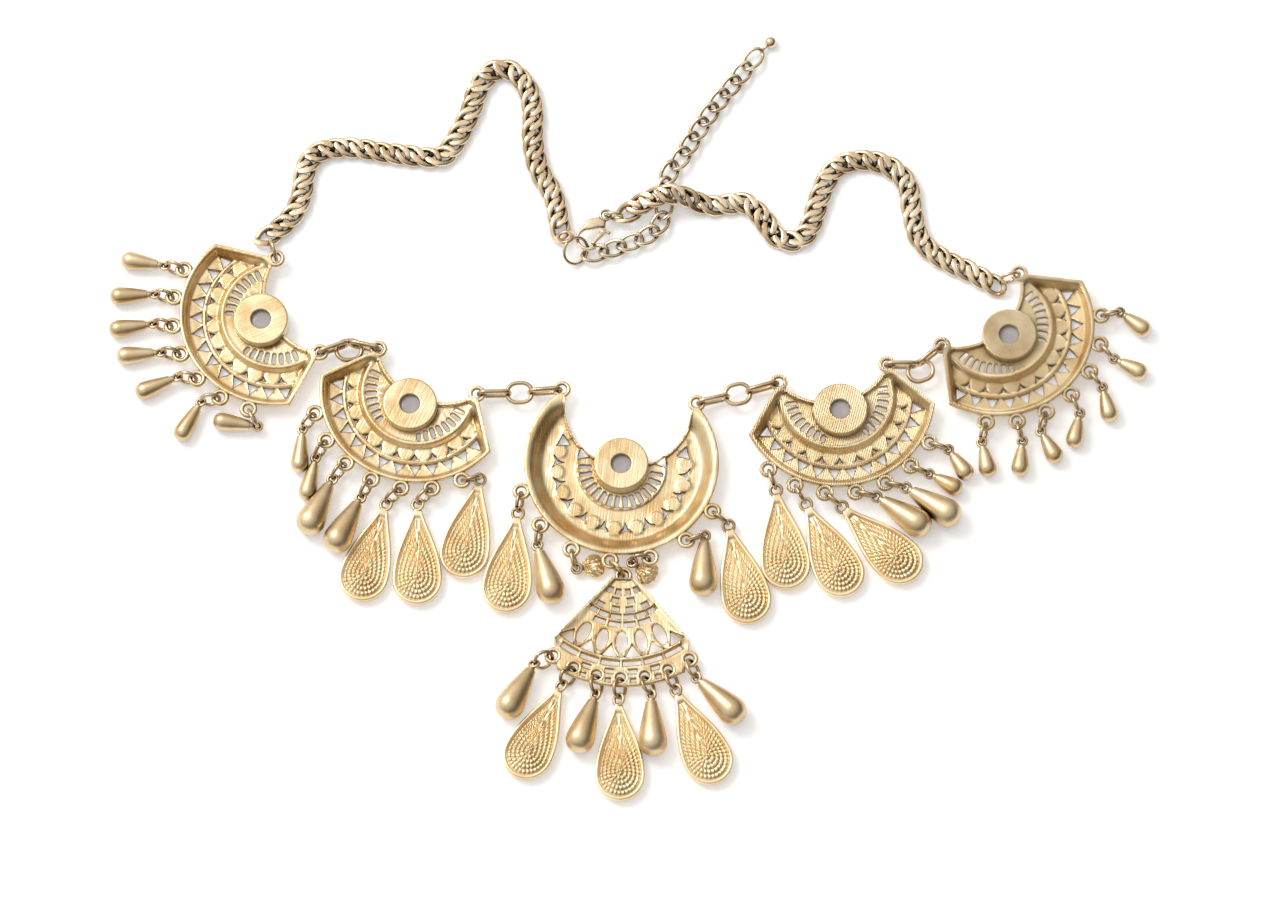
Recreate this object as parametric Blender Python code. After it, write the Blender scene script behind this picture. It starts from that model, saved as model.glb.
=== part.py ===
"""Bib necklace lying face down: pierced plates with set stones, drops on rings, chains and a clasp.

Lengths are in millimetres and angles in degrees; MM turns lengths into the metres of the meshes.
+Z is up and the surface that the necklace lies on is at z = 0.
"""
import math

import bmesh
import bpy
from mathutils import Matrix, Vector
from mathutils.geometry import delaunay_2d_cdt

MM = 0.001

# Castings: heights above the surface, and the thickness of the metal
CASTING_THICKNESS = 1.3
RIM_TOP = 4.5
RIM_WIDTH = 0.8
TROUGH_TOP = 1.4
WALL_FOOT_RISE = 0.9
BAND_TOP = 3.0

# Loops and ears round the castings
LOOP_RADIUS = 2.4
LOOP_HOLE = 1.5
LOOP_OFFSET = 1.9
LOOP_SIDES = 7
HOLE_SIDES = 6

# Setting cups with their stones
CUP_RADIUS = 7.2
CUP_TOP = 5.6
CUP_BACK = 0.9
CUP_WALL = 1.0
CUP_DRAFT = 0.3
CUP_HOLE = 2.65
CUP_SIDES = 12
CUP_HOLE_SIDES = 10
STONE_CLEARANCE = 0.3
STONE_LIFT = 0.4
STONE_GIRDLE = 2.0

# Fan plates: the frame's origin is midway between the ears, +Y away from the loops; the skirt is how far
# the radius of the loops' arc exceeds half the span, so that fans of any span keep the same way past their ears
FAN_EAR_SPAN = 29.0
FAN_ARC_DROP = 5.9
FAN_SKIRT = 11.4
FAN_RADIUS = FAN_EAR_SPAN / 2 + FAN_SKIRT
FAN_CORNER = 73.8
FAN_MOUTH_RADIUS = 17.5
FAN_CUP_DROP = 10.6
FAN_WALL_WIDTH = 2.5
FAN_TRIANGLES = 13
FAN_TRIANGLE_STEP = 12.0
FAN_TRIANGLE_RADIUS = 20.1
FAN_TRIANGLE_WIDTH = 2.3
FAN_TRIANGLE_HEIGHT = 2.6
FAN_BAND_RADIUS = 14.7
BAND_DRAFT = 0.6
FAN_LOOP_STEP = 16.9
LOOPS = 7

# Crescent plate, in a frame of the same kind
CRESCENT_EAR_SPAN = 35.7
CRESCENT_ARC_DROP = 18.7
CRESCENT_RADIUS = 25.6
CRESCENT_MOUTH_DROP = 2.5
CRESCENT_MOUTH_RADIUS = 16.6
CRESCENT_CUP_DROP = 19.4
CRESCENT_WALL_WIDTH = 5.3
CRESCENT_LOOP_STEP = 22.2
SLOTS = 15
SLOT_STEP = 12.3
SLOT_START = 8.4
SLOT_LENGTH = 2.5
SLOT_WIDTH = 1.0
STAR_GAPS = 12
STAR_STEP = 20.0
STAR_RADIUS = 17.0
STAR_REACH = 1.5
STAR_WAIST = 0.45

# Pendant plate: a sector about its virtual apex, with the eye near that apex
PENDANT_HALF_ANGLE = 40.8
PENDANT_EYE = 2.7
PENDANT_NECK = 4.6
PENDANT_SHOULDER = 27.2
PENDANT_FOOT = 33.5
PENDANT_FOOT_ANGLE = 30.0
PENDANT_LOOP_INSET = 2.5
PENDANT_LOOP_REACH = PENDANT_FOOT - PENDANT_LOOP_INSET
PENDANT_LOOP_STEP = 11.7
PENDANT_RIM_WIDTH = 1.3
PENDANT_RIM_TOP = 4.0
PENDANT_LATTICE_TOP = 3.4
PENDANT_RIB = 26.0
PENDANT_RIB_WIDTH = 0.9
OVALS = 5
OVAL_REACH = 21.2
OVAL_STEP = 14.0
OVAL_LENGTH = 5.8
OVAL_WIDTH = 2.7

# Gaps with three corners between the ovals: from the ovals' middle to the point, past their end to the base
SPANDREL_POINT = 1.2
SPANDREL_BASE = 0.6
SPANDREL_HALF_ANGLE = 4.2

# Rows of gaps across the pendant: (reach from its apex, height, headings from its middle, width)
PENDANT_ROWS = ((7.6, 1.4, (-27, -9, 9, 27), 1.4), (10.0, 1.3, (-12, 12), 1.5), (12.3, 1.1, (-28, -9, 9, 28), 1.7),
                (14.4, 1.2, (-33, -20, -7, 7, 20, 33), 2.1), (16.6, 1.1, (-21, -7, 7, 21), 2.3),
                (27.7, 1.0, (-30, -18, -6, 6, 18, 30), 3.8))

# Jump rings and drops
RING_RADIUS = 2.5
RING_WIRE = 0.8
RING_SEGMENTS = 10
WIRE_SIDES = 5
RING_SEAT = 0.25
RING_LEAN = 12.0
PENDANT_RING_LEAN = 35.0
PLAIN_KINDS = ("small", "slim", "medium")
PLAIN_REACH = {"small": 7.6, "slim": 9.8, "medium": 13.6}
PLAIN_RADIUS = {"small": 2.4, "slim": 2.4, "medium": 3.8}
EYE_HEIGHT = {"small": 2.7, "slim": 2.7, "medium": 3.2, "grain": 2.3, "shell": 2.3}
NECK_RADIUS = 0.6
NECK_START = 0.9
GRAIN_REACH = 21.3
GRAIN_HALF_WIDTH = 6.5
GRAIN_END = 6.9
GRAIN_RIM = 2.6
GRAIN_DOME = 3.2
SHELL_REACH = 5.2
SHELL_HALF_WIDTH = 3.3
SHELL_END = 2.6
SHELL_RIM = 1.5
SHELL_DOME = 2.4
DROP_SIDES = 10

# Flat drops from the eye outward: where they start and how wide and thick they are there, then the sections
# of each kind: (share of the reach, share of the end past it, share of the half width, share of the thickness)
FLAT_START = {"grain": 1.5, "shell": 1.3}
FLAT_NECK = 0.9
FLAT_NECK_SHARE = 0.6
GRAIN_SECTIONS = ((0.3, 0, 0.42, 0.9), (0.68, 0, 0.82, 1), (1, 0, 1, 1), (1, 0.6, 0.78, 1), (1, 1, 0.2, 1))
SHELL_SECTIONS = ((0.7, 0, 0.85, 1), (1, 0, 1, 1), (1, 0.7, 0.7, 1), (1, 1, 0.3, 1))

# Connectors of three links
LINK_WIRE = 0.9
OUTER_LINK = 8.2
OUTER_LINK_WIDTH = 3.5
TAUT_SEAT = 0.4
LOOSE_SEAT = -0.3
MIDDLE_LINK = 6.7
MIDDLE_LINK_WIDTH = 5.5
MIDDLE_LINK_HEIGHT = 3.0
INTERLOCK = 0.75
BUNCHED_SPAN = 15.5
BUNCHED_GAP = 0.6

# Chains, closure and clasp
CHAIN_WIDTH = 4.8
EXTENDER_WIDTH = 2.4
CHAIN_STEP = 2.0
CHAIN_RING_RADIUS = 2.9
CHAIN_RING_WIRE = 0.9
CLOSURE_RADIUS = 3.6
CLOSURE_WIRE = 0.9
CLOSURE_LEAN = -45.0
BALL_RADIUS = 1.5
CLASP_LENGTH = 11.6
CLASP_WIDTH = 7.0
CLASP_THICKNESS = 1.6
CLASP_WALL = 1.0
CLASP_FLOOR = 2.3
CLASP_EYE_RADIUS = 1.8
CLASP_EYE_HOLE = 1.0
CLASP_EYE_THICKNESS = 1.4
HOOK_TIP = 68.0
LEVER_PIVOT = (4.2, 2.1)
LEVER_ROOT = 0.8
LEVER_WIDTH = 1.2
LEVER_TAB = 1.8
LEVER_THICKNESS = 1.0
LEVER_CLEARANCE = 0.3
CLOSURE_SEAT = (1.15, -0.3)
CLOSURE_TURN = -10.0
CLOSURE_LINK_WIDTH = 3.6

# Where the plates lie: the crescent's ears, then, outward from it on each side, a row for each connector
# with its fan: (level, heading of the connector, side to which it sags, turn of the fan)
CRESCENT_PLACE = (-1.6, 3.1)
CRESCENT_TURN = -6.3
RIGHT_ROWS = [("inner", 15.1, 0, 10.0), ("outer", 20.5, -1, 44.5)]
LEFT_ROWS = [("inner", -176.8, 0, -25.8), ("outer", -176.4, 1, -66.0)]
PENDANT_RING_HEADING = -47.0
PENDANT_HEADING = -91.5

# Drops of each plate, from its first loop to its last: (heading of the ring, heading of the drop, kind)
DROPS = {
    "outer_left": [(163, 170, "slim"), (166, -178, "slim"), (168, -172, "slim"), (170, -175, "slim"),
                   (170, -157, "slim"), (-172, -119, "slim"), (-60, 171, "slim")],
    "inner_left": [(-130, -94, "slim"), (-122, -103, "slim"), (-130, -115, "medium"), (-120, -117, "medium"),
                   (-138, -106, "grain"), (-138, -90, "grain"), (15, -101, "grain")],
    "crescent": [(-100, -98, "grain"), (-100, -74, "medium"), (-77, 13, "shell"), None,
                 (-172, -32, "shell"), (20, -92, "medium"), (-35, -77, "grain")],
    "pendant": [(-156, -119, "medium"), (-125, -115, "grain"), (-92, -108, "medium"), (-96, -89, "grain"),
                (-72, -88, "medium"), (-70, -66, "grain"), (-72, -45, "medium")],
    "inner_right": [(-68, -83, "grain"), (-58, -65, "grain"), (-36, -45, "grain"), (-10, -35, "medium"),
                    (-10, -34, "medium"), (-20, -29, "small"), (-15, -55, "small")],
    "outer_right": [(-104, -78, "small"), (-75, -95, "small"), (-108, -62, "small"), (-64, -101, "small"),
                    (-50, -76, "small"), (-45, -28, "small"), (16, -37, "small")],
}

# Routes of the chains between their end rings, chosen by hand: (x, y, height of the middle)
LEFT_ROUTE = [(-97.3, 49.2, 2.4), (-94.3, 51.6, 2.4), (-90.5, 56.0, 2.4), (-88.3, 62.5, 2.4), (-87.5, 69.0, 2.4),
              (-83.5, 73.4, 2.4), (-76.0, 74.5, 2.4), (-67.0, 73.2, 2.4), (-58.0, 72.0, 2.4),
              (-51.5, 72.0, 2.4), (-47.5, 77.0, 2.4), (-44.0, 84.5, 2.4), (-41.3, 92.5, 2.4),
              (-37.0, 96.8, 2.4), (-32.5, 96.0, 2.4), (-28.5, 91.0, 2.4), (-27.3, 84.5, 2.4),
              (-27.2, 76.0, 2.4), (-25.5, 68.0, 2.4), (-21.8, 61.0, 2.4), (-20.3, 54.0, 2.6),
              (-19.6, 49.5, 2.8)]
EXTENDER_ROUTE = [(-13.2, 43.9, 1.2), (-8.5, 44.6, 1.2), (-4.0, 46.4, 1.2), (1.0, 48.3, 1.2), (5.5, 51.0, 1.2),
                  (7.4, 56.0, 1.2), (7.8, 60.5, 1.2), (9.0, 67.0, 1.2), (12.2, 71.5, 1.2),
                  (14.8, 76.0, 1.2), (20.3, 85.0, 1.2), (26.7, 93.5, 1.2), (32.7, 101.5, 1.2),
                  (36.0, 104.6, 1.5)]
RIGHT_ROUTE = [(-3.6, 54.2, 3.0), (-1.0, 56.2, 3.6), (2.8, 58.2, 5.0), (6.5, 59.3, 6.2),
               (10.5, 59.8, 6.0), (14.5, 59.2, 4.2), (18.5, 58.0, 2.6), (23.5, 58.2, 2.4),
               (28.0, 58.9, 2.4), (33.0, 55.5, 2.4), (37.0, 49.5, 2.4), (42.5, 48.0, 2.4),
               (46.5, 52.5, 2.4), (49.0, 60.5, 2.4), (52.5, 68.0, 2.4), (59.0, 70.8, 2.4),
               (66.5, 69.5, 2.4), (72.0, 64.5, 2.4), (73.4, 56.5, 2.4), (75.5, 48.5, 2.4),
               (81.0, 43.2, 2.4), (89.0, 39.0, 2.4), (95.0, 35.5, 2.4)]
CLASP_EYE = (-7.9, 54.6)
CLASP_HEADING = -124.0

CDT_EPSILON = 1e-5
STEP_TOLERANCE = 0.03


def polar(centre, radius, heading):
    """Point at a radius and heading from a centre, in the plane."""
    angle = math.radians(heading)
    return (centre[0] + radius * math.cos(angle), centre[1] + radius * math.sin(angle))


def arc(centre, radius, start, end, steps):
    """Points along an arc, both ends among them."""
    return [polar(centre, radius, start + (end - start) * i / steps) for i in range(steps + 1)]


def circle(centre, radius, sides, phase=0.0):
    """Corners of a regular polygon."""
    return arc(centre, radius, phase, phase + 360, sides)[:-1]


def heading_vector(heading):
    """Level unit vector along a heading."""
    return Vector((*polar((0, 0), 1, heading), 0))


def ramp(value, low, high, low_result, high_result):
    """Straight run from one result to another, level outside its ends."""
    share = min(1, max(0, (value - low) / (high - low)))
    return low_result + (high_result - low_result) * share


def turns_left(outline):
    """Whether an outline runs anticlockwise."""
    return sum(a[0] * b[1] - b[0] * a[1] for a, b in zip(outline, outline[1:] + outline[:1])) > 0


def finish_mesh(name, mesh_builder, material, smooth=35):
    """Object from a bmesh in millimetres, with its faces pointing out."""
    bmesh.ops.scale(mesh_builder, vec=(MM, MM, MM), verts=mesh_builder.verts)
    mesh = bpy.data.meshes.new(name)
    mesh_builder.to_mesh(mesh)
    mesh_builder.free()
    mesh.shade_smooth()
    mesh.set_sharp_from_angle(angle=math.radians(smooth))
    mesh.materials.append(material)
    thing = bpy.data.objects.new(name, mesh)
    bpy.context.scene.collection.objects.link(thing)
    return thing


def unite(thing, others):
    """Fuses further closed objects into one."""
    for other in others:
        join = thing.modifiers.new("join", "BOOLEAN")
        join.operation = "UNION"
        join.solver = "EXACT"
        join.object = other
        other.hide_render = True
        other.display_type = "WIRE"
    graph = bpy.context.evaluated_depsgraph_get()
    joined = bpy.data.meshes.new_from_object(thing.evaluated_get(graph))
    thing.modifiers.clear()
    thing.data = joined
    for other in others:
        bpy.data.objects.remove(other)
    return thing


def sheet(solids, holes, guides, top, bottom, place):
    """Closed sheet over flat outlines, less the holes; top and bottom give its heights at a point."""
    points = []
    faces = []
    edges = []
    for outline in solids + holes:
        faces.append(list(range(len(points), len(points) + len(outline))))
        points += outline if turns_left(outline) else outline[::-1]
    for line in guides:
        edges += [(i, i + 1) for i in range(len(points), len(points) + len(line) - 1)]
        points += line
    flat = [Vector(point) for point in points]
    corners, _, triangles, _, _, owners = delaunay_2d_cdt(flat, edges, faces, 0, CDT_EPSILON)
    kept = []
    for triangle, owner in zip(triangles, owners):
        in_solid = any(face < len(solids) for face in owner)
        in_hole = any(face >= len(solids) for face in owner)
        if in_solid and not in_hole:
            a, b, c = (corners[i] for i in triangle)
            kept.append(triangle if (b - a).cross(c - a) > 0 else triangle[::-1])
    made = bmesh.new()
    upper = {}
    lower = {}
    for index in sorted({i for triangle in kept for i in triangle}):
        x, y = corners[index]
        upper[index] = made.verts.new(place @ Vector((x, y, top(x, y))))
        lower[index] = made.verts.new(place @ Vector((x, y, bottom(x, y))))
    sides = {(t[i], t[(i + 1) % 3]) for t in kept for i in range(3)}
    for a, b, c in kept:
        made.faces.new((upper[a], upper[b], upper[c]))
        made.faces.new((lower[c], lower[b], lower[a]))
    for a, b in sorted(sides):
        if (b, a) not in sides:
            made.faces.new((lower[a], lower[b], upper[b], upper[a]))
    return made


def placed(x, y, turn):
    """Frame on the surface at a point, turned about Z."""
    return Matrix.Translation((x, y, 0)) @ Matrix.Rotation(math.radians(turn), 4, "Z")


def cup_guides(cup):
    """Rings at the edges of a setting cup's walls."""
    pocket = CUP_RADIUS - CUP_WALL
    rings = [circle(cup, radius, CUP_SIDES) for radius in (pocket, pocket + CUP_DRAFT, CUP_RADIUS + CUP_DRAFT)]
    return [ring + ring[:1] for ring in rings]


def with_cup(cup, top):
    """Heights of a plate's two faces once its setting cup stands on it."""
    def top_face(x, y):
        inside = math.dist((x, y), cup) < CUP_RADIUS + STEP_TOLERANCE
        return CUP_TOP if inside else top(x, y)

    def bottom_face(x, y):
        out = math.dist((x, y), cup)
        if out < CUP_RADIUS - CUP_WALL + STEP_TOLERANCE:
            return CUP_TOP - CUP_BACK
        if out < CUP_RADIUS + STEP_TOLERANCE:
            return 0
        return max(0, top(x, y) - CASTING_THICKNESS)
    return top_face, bottom_face


def fan_end_distance(x, y, corner):
    """How far inside the straight end of a fan a point lies, taken on its own side."""
    ear = Vector((FAN_EAR_SPAN / 2, 0))
    along = (Vector(corner) - ear).normalized()
    inward = Vector((along.y, -along.x))
    return (Vector((abs(x), y)) - ear).dot(inward)


def fan_inset(centre, corner, inset):
    """Line that runs inside the ends and the arc of a fan at one distance."""
    ear = Vector((FAN_EAR_SPAN / 2, 0))
    along = (Vector(corner) - ear).normalized()
    inward = Vector((along.y, -along.x))
    from_centre = ear + inward * inset - Vector(centre)
    half = from_centre.dot(along)
    reach = FAN_RADIUS - inset
    run = -half + math.sqrt(half * half - from_centre.length_squared + reach * reach)
    meeting = from_centre + along * run
    start = math.degrees(math.atan2(meeting.y, meeting.x))
    near_ear = ear + inward * inset + along * LOOP_RADIUS
    line = [tuple(near_ear)] + arc(centre, reach, start, -180 - start, 9)
    return line + [(-near_ear.x, near_ear.y)]


def fan_plate(name, place, material):
    """Pierced fan with its cup; gives the places of its ears and loops."""
    centre = (0, -FAN_ARC_DROP)
    cup = (0, -FAN_CUP_DROP)
    ears = [(-FAN_EAR_SPAN / 2, 0), (FAN_EAR_SPAN / 2, 0)]
    corner = polar(centre, FAN_RADIUS, FAN_CORNER - 90)
    mouth = (0, math.sqrt(FAN_MOUTH_RADIUS ** 2 - (FAN_EAR_SPAN / 2) ** 2))
    lip = math.degrees(math.atan2(-mouth[1], FAN_EAR_SPAN / 2))
    cup_lip = -90 + math.degrees(math.asin((CUP_RADIUS - CUP_WALL) / FAN_MOUTH_RADIUS))
    outline = [ears[1]] + arc(centre, FAN_RADIUS, FAN_CORNER - 90, -FAN_CORNER - 90, 14) + [ears[0]]
    outline += arc(mouth, FAN_MOUTH_RADIUS, -180 - lip, -180 - cup_lip, 3)[1:]
    outline += arc(mouth, FAN_MOUTH_RADIUS, cup_lip, lip, 3)[:-1]
    loops = [polar(centre, FAN_RADIUS + LOOP_OFFSET, -90 + FAN_LOOP_STEP * (i - LOOPS // 2)) for i in range(LOOPS)]
    solids = [outline, circle(cup, CUP_RADIUS, CUP_SIDES)]
    solids += [circle(eye, LOOP_RADIUS, LOOP_SIDES) for eye in ears + loops]
    holes = [circle(eye, LOOP_HOLE, HOLE_SIDES) for eye in ears + loops]
    holes.append(circle(cup, CUP_HOLE, CUP_HOLE_SIDES))
    for i in range(FAN_TRIANGLES):
        heading = -90 + FAN_TRIANGLE_STEP * (i - FAN_TRIANGLES // 2)
        half = math.degrees(FAN_TRIANGLE_WIDTH / 2 / FAN_TRIANGLE_RADIUS)
        base = [polar(centre, FAN_TRIANGLE_RADIUS, heading + side * half) for side in (1, -1)]
        holes.append(base + [polar(centre, FAN_TRIANGLE_RADIUS + FAN_TRIANGLE_HEIGHT, heading)])
    guides = [fan_inset(centre, corner, RIM_WIDTH), fan_inset(centre, corner, FAN_WALL_WIDTH)]
    for radius in (FAN_BAND_RADIUS, FAN_BAND_RADIUS + BAND_DRAFT):
        guides.append(arc(centre, radius, FAN_CORNER - 70, -FAN_CORNER - 110, 7))
    guides += cup_guides(cup)

    def top(x, y):
        out = math.dist((x, y), centre)
        inset = min(FAN_RADIUS - out, fan_end_distance(x, y, corner))
        floor = ramp(out, FAN_TRIANGLE_RADIUS, FAN_RADIUS, TROUGH_TOP, TROUGH_TOP + WALL_FOOT_RISE)
        floor = max(floor, ramp(out, FAN_BAND_RADIUS, FAN_BAND_RADIUS + BAND_DRAFT, BAND_TOP, TROUGH_TOP))
        near_ear = min(math.dist((x, y), ear) for ear in ears)
        floor = max(floor, ramp(near_ear, LOOP_RADIUS, 2 * LOOP_RADIUS, RIM_TOP, 0))
        return ramp(inset, RIM_WIDTH + STEP_TOLERANCE, FAN_WALL_WIDTH, RIM_TOP, floor)

    top_face, bottom_face = with_cup(cup, top)
    made = sheet(solids, holes, guides, top_face, bottom_face, place)
    finish_mesh(name, made, material)
    return world(place, ears), world(place, loops), cup


def crescent_plate(name, place, material):
    """Pierced crescent with its cup; gives the places of its ears and loops."""
    centre = (0, -CRESCENT_ARC_DROP)
    cup = (0, -CRESCENT_CUP_DROP)
    mouth = (0, -CRESCENT_MOUTH_DROP)
    half_span = CRESCENT_EAR_SPAN / 2
    ears = [(-half_span, 0), (half_span, 0)]
    horn = math.degrees(math.atan2(CRESCENT_ARC_DROP, half_span))
    cup_lip = -90 + math.degrees(math.asin((CUP_RADIUS - CUP_WALL) / CRESCENT_MOUTH_RADIUS))
    outline = arc(centre, CRESCENT_RADIUS, horn, -180 - horn, 20)
    outline += arc(mouth, CRESCENT_MOUTH_RADIUS, -180, -180 - cup_lip, 6)
    outline += arc(mouth, CRESCENT_MOUTH_RADIUS, cup_lip, 0, 6)
    step = CRESCENT_LOOP_STEP
    loops = [polar(centre, CRESCENT_RADIUS + LOOP_OFFSET, -90 + step * (i - LOOPS // 2)) for i in range(LOOPS)]
    solids = [outline, circle(cup, CUP_RADIUS, CUP_SIDES)]
    solids += [circle(eye, LOOP_RADIUS, LOOP_SIDES) for eye in ears + loops]
    holes = [circle(eye, LOOP_HOLE, HOLE_SIDES) for eye in ears + loops]
    holes.append(circle(cup, CUP_HOLE, CUP_HOLE_SIDES))
    for i in range(SLOTS):
        heading = -90 + SLOT_STEP * (i - SLOTS // 2)
        holes.append(radial_slot(cup, SLOT_START, SLOT_START + SLOT_LENGTH, SLOT_WIDTH, heading))
    for i in range(STAR_GAPS):
        heading = -90 + STAR_STEP * (i - (STAR_GAPS - 1) / 2)
        middle = polar(cup, STAR_RADIUS, heading)
        arms = circle(middle, STAR_REACH, 3, heading + 180)
        waists = circle(middle, STAR_WAIST, 3, heading + 240)
        holes.append([point for pair in zip(arms, waists) for point in pair])
    reaches = (CRESCENT_RADIUS - RIM_WIDTH, CRESCENT_RADIUS - CRESCENT_WALL_WIDTH)
    guides = [arc(centre, reach, horn, -180 - horn, 15) for reach in reaches]
    guides += cup_guides(cup)

    def top(x, y):
        inset = CRESCENT_RADIUS - math.dist((x, y), centre)
        near_ear = min(math.dist((x, y), ear) for ear in ears)
        floor = ramp(near_ear, LOOP_RADIUS, 3 * LOOP_RADIUS, RIM_TOP, TROUGH_TOP)
        return ramp(inset, RIM_WIDTH + STEP_TOLERANCE, CRESCENT_WALL_WIDTH, RIM_TOP, floor)

    top_face, bottom_face = with_cup(cup, top)
    made = sheet(solids, holes, guides, top_face, bottom_face, place)
    finish_mesh(name, made, material)
    return world(place, ears), world(place, loops), cup


def radial_slot(centre, start, end, width, heading):
    """Four corners of a slot that points away from a centre."""
    along = heading_vector(heading).xy
    side = Vector((-along.y, along.x)) * width / 2
    middle = Vector(centre)
    ends = (middle + along * start, middle + along * end)
    return [tuple(p) for p in (ends[0] - side, ends[1] - side, ends[1] + side, ends[0] + side)]


def band_gap(reach, height, heading, width):
    """Four-cornered gap that lies along an arc about the pendant's virtual apex."""
    half = math.degrees(width / 2 / reach)
    low = [polar((0, 0), reach - height / 2, heading + side * half) for side in (-1, 1)]
    high = [polar((0, 0), reach + height / 2, heading + side * half) for side in (1, -1)]
    return low + high


def pendant_plate(name, place, material):
    """Pierced sector with its eye; gives the places of the holes along its foot."""
    left = -90 - PENDANT_HALF_ANGLE
    right = -90 + PENDANT_HALF_ANGLE
    foot = -90 + PENDANT_FOOT_ANGLE
    headings = [-90 + PENDANT_LOOP_STEP * (i - LOOPS // 2) for i in range(LOOPS)]
    loops = [polar((0, 0), PENDANT_LOOP_REACH, heading) for heading in headings]
    outline = [polar((0, 0), PENDANT_NECK, right), polar((0, 0), PENDANT_NECK, left)]
    outline += [polar((0, 0), PENDANT_SHOULDER, left)]
    outline += arc((0, 0), PENDANT_FOOT, -180 - foot, foot, 8)
    outline += [polar((0, 0), PENDANT_SHOULDER, right)]
    eye = (0, -PENDANT_EYE)
    solids = [outline, circle(eye, LOOP_RADIUS, LOOP_SIDES)]
    solids += [circle(loops[i], LOOP_RADIUS, LOOP_SIDES) for i in (0, LOOPS - 1)]
    holes = [circle(point, LOOP_HOLE, HOLE_SIDES) for point in loops]
    for reach, height, offsets, width in PENDANT_ROWS:
        holes += [band_gap(reach, height, -90 + offset, width) for offset in offsets]
    for i in range(OVALS):
        heading = -90 + OVAL_STEP * (i - OVALS // 2)
        turn = Matrix.Rotation(math.radians(heading), 2)
        middle = Vector(polar((0, 0), OVAL_REACH, heading))
        oval = [Vector((x * OVAL_LENGTH / 2, y * OVAL_WIDTH / 2)) for x, y in circle((0, 0), 1, 8)]
        holes.append([tuple(middle + turn @ point) for point in oval])
    for i in range(OVALS + 1):
        heading = -90 + OVAL_STEP * (i - OVALS / 2)
        point = polar((0, 0), OVAL_REACH + SPANDREL_POINT, heading)
        base = [polar((0, 0), OVAL_REACH + OVAL_LENGTH / 2 + SPANDREL_BASE, heading + side * SPANDREL_HALF_ANGLE)
                for side in (-1, 1)]
        holes.append([point] + base)
    guides = []
    for side in (-1, 1):
        reach = math.degrees(PENDANT_RIM_WIDTH / PENDANT_SHOULDER)
        near = math.degrees(PENDANT_RIM_WIDTH / (2 * PENDANT_NECK))
        guides.append([polar((0, 0), 2 * PENDANT_NECK, -90 + side * (PENDANT_HALF_ANGLE - near)),
                       polar((0, 0), PENDANT_SHOULDER, -90 + side * (PENDANT_HALF_ANGLE - reach))])
    for reach in (PENDANT_RIB - PENDANT_RIB_WIDTH / 2, PENDANT_RIB + PENDANT_RIB_WIDTH / 2):
        guides.append(arc((0, 0), reach, left, right, 8))

    def is_rim(x, y):
        out = math.hypot(x, y)
        heading = math.degrees(math.atan2(y, x)) + 90
        side = (PENDANT_HALF_ANGLE - abs(heading)) * math.radians(1) * out
        return out < PENDANT_SHOULDER + 1 and side < PENDANT_RIM_WIDTH / 2

    def top(x, y):
        return PENDANT_RIM_TOP if is_rim(x, y) else PENDANT_LATTICE_TOP

    def bottom(x, y):
        return 0 if is_rim(x, y) else PENDANT_LATTICE_TOP - CASTING_THICKNESS

    made = sheet(solids, holes, guides, top, bottom, place)
    plate = finish_mesh(name, made, material)
    return plate, world(place, loops)


def world(place, points):
    """Flat points carried into the model's frame."""
    return [(place @ Vector((*point, 0))).xy for point in points]


def stone(name, place, cup, material):
    """Domed stone with a flat back, seated in a cup from the front."""
    radius = CUP_RADIUS - CUP_WALL - STONE_CLEARANCE
    back = CUP_TOP - CUP_BACK - STONE_CLEARANCE
    made = bmesh.new()
    rows = ((radius, back), (radius, STONE_GIRDLE), (radius * 0.7, STONE_LIFT + 0.5))
    rings = []
    for reach, height in rows:
        rings.append([made.verts.new(place @ Vector((*p, height))) for p in circle(cup, reach, CUP_SIDES)])
    tip = made.verts.new(place @ Vector((*cup, STONE_LIFT)))
    made.faces.new(rings[0])
    for upper, lower in zip(rings, rings[1:]):
        for i in range(CUP_SIDES):
            j = (i + 1) % CUP_SIDES
            made.faces.new((upper[j], upper[i], lower[i], lower[j]))
    for i in range(CUP_SIDES):
        made.faces.new((rings[-1][(i + 1) % CUP_SIDES], rings[-1][i], tip))
    return finish_mesh(name, made, material)


def stadium(half_length, half_width, phase):
    """Corners of a link's middle line: two round ends with straight sides between them."""
    points = []
    for k in range(RING_SEGMENTS):
        angle = 2 * math.pi * (k + phase) / RING_SEGMENTS
        across = math.cos(angle)
        straight = (half_length - half_width) * (0 if abs(across) < CDT_EPSILON else math.copysign(1, across))
        points.append((straight + half_width * across, half_width * math.sin(angle)))
    return points


def wire_ring(made, centre, along, up, half_length, half_width, wire, phase=0.5):
    """Adds a closed ring of wire; gives its corners, section by section."""
    normal = along.cross(up).normalized()
    path = [centre + along * x + up * y for x, y in stadium(half_length, half_width, phase)]
    sections = []
    for k, point in enumerate(path):
        tangent = (path[(k + 1) % len(path)] - path[k - 1]).normalized()
        outward = tangent.cross(normal)
        section = []
        for j in range(WIRE_SIDES):
            angle = 2 * math.pi * (j - 0.5) / WIRE_SIDES
            section.append(made.verts.new(point + (outward * math.cos(angle) + normal * math.sin(angle)) * wire / 2))
        sections.append(section)
    for k, section in enumerate(sections):
        following = sections[(k + 1) % len(sections)]
        for j in range(WIRE_SIDES):
            i = (j + 1) % WIRE_SIDES
            made.faces.new((section[j], following[j], following[i], section[i]))
    return sections, normal


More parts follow.
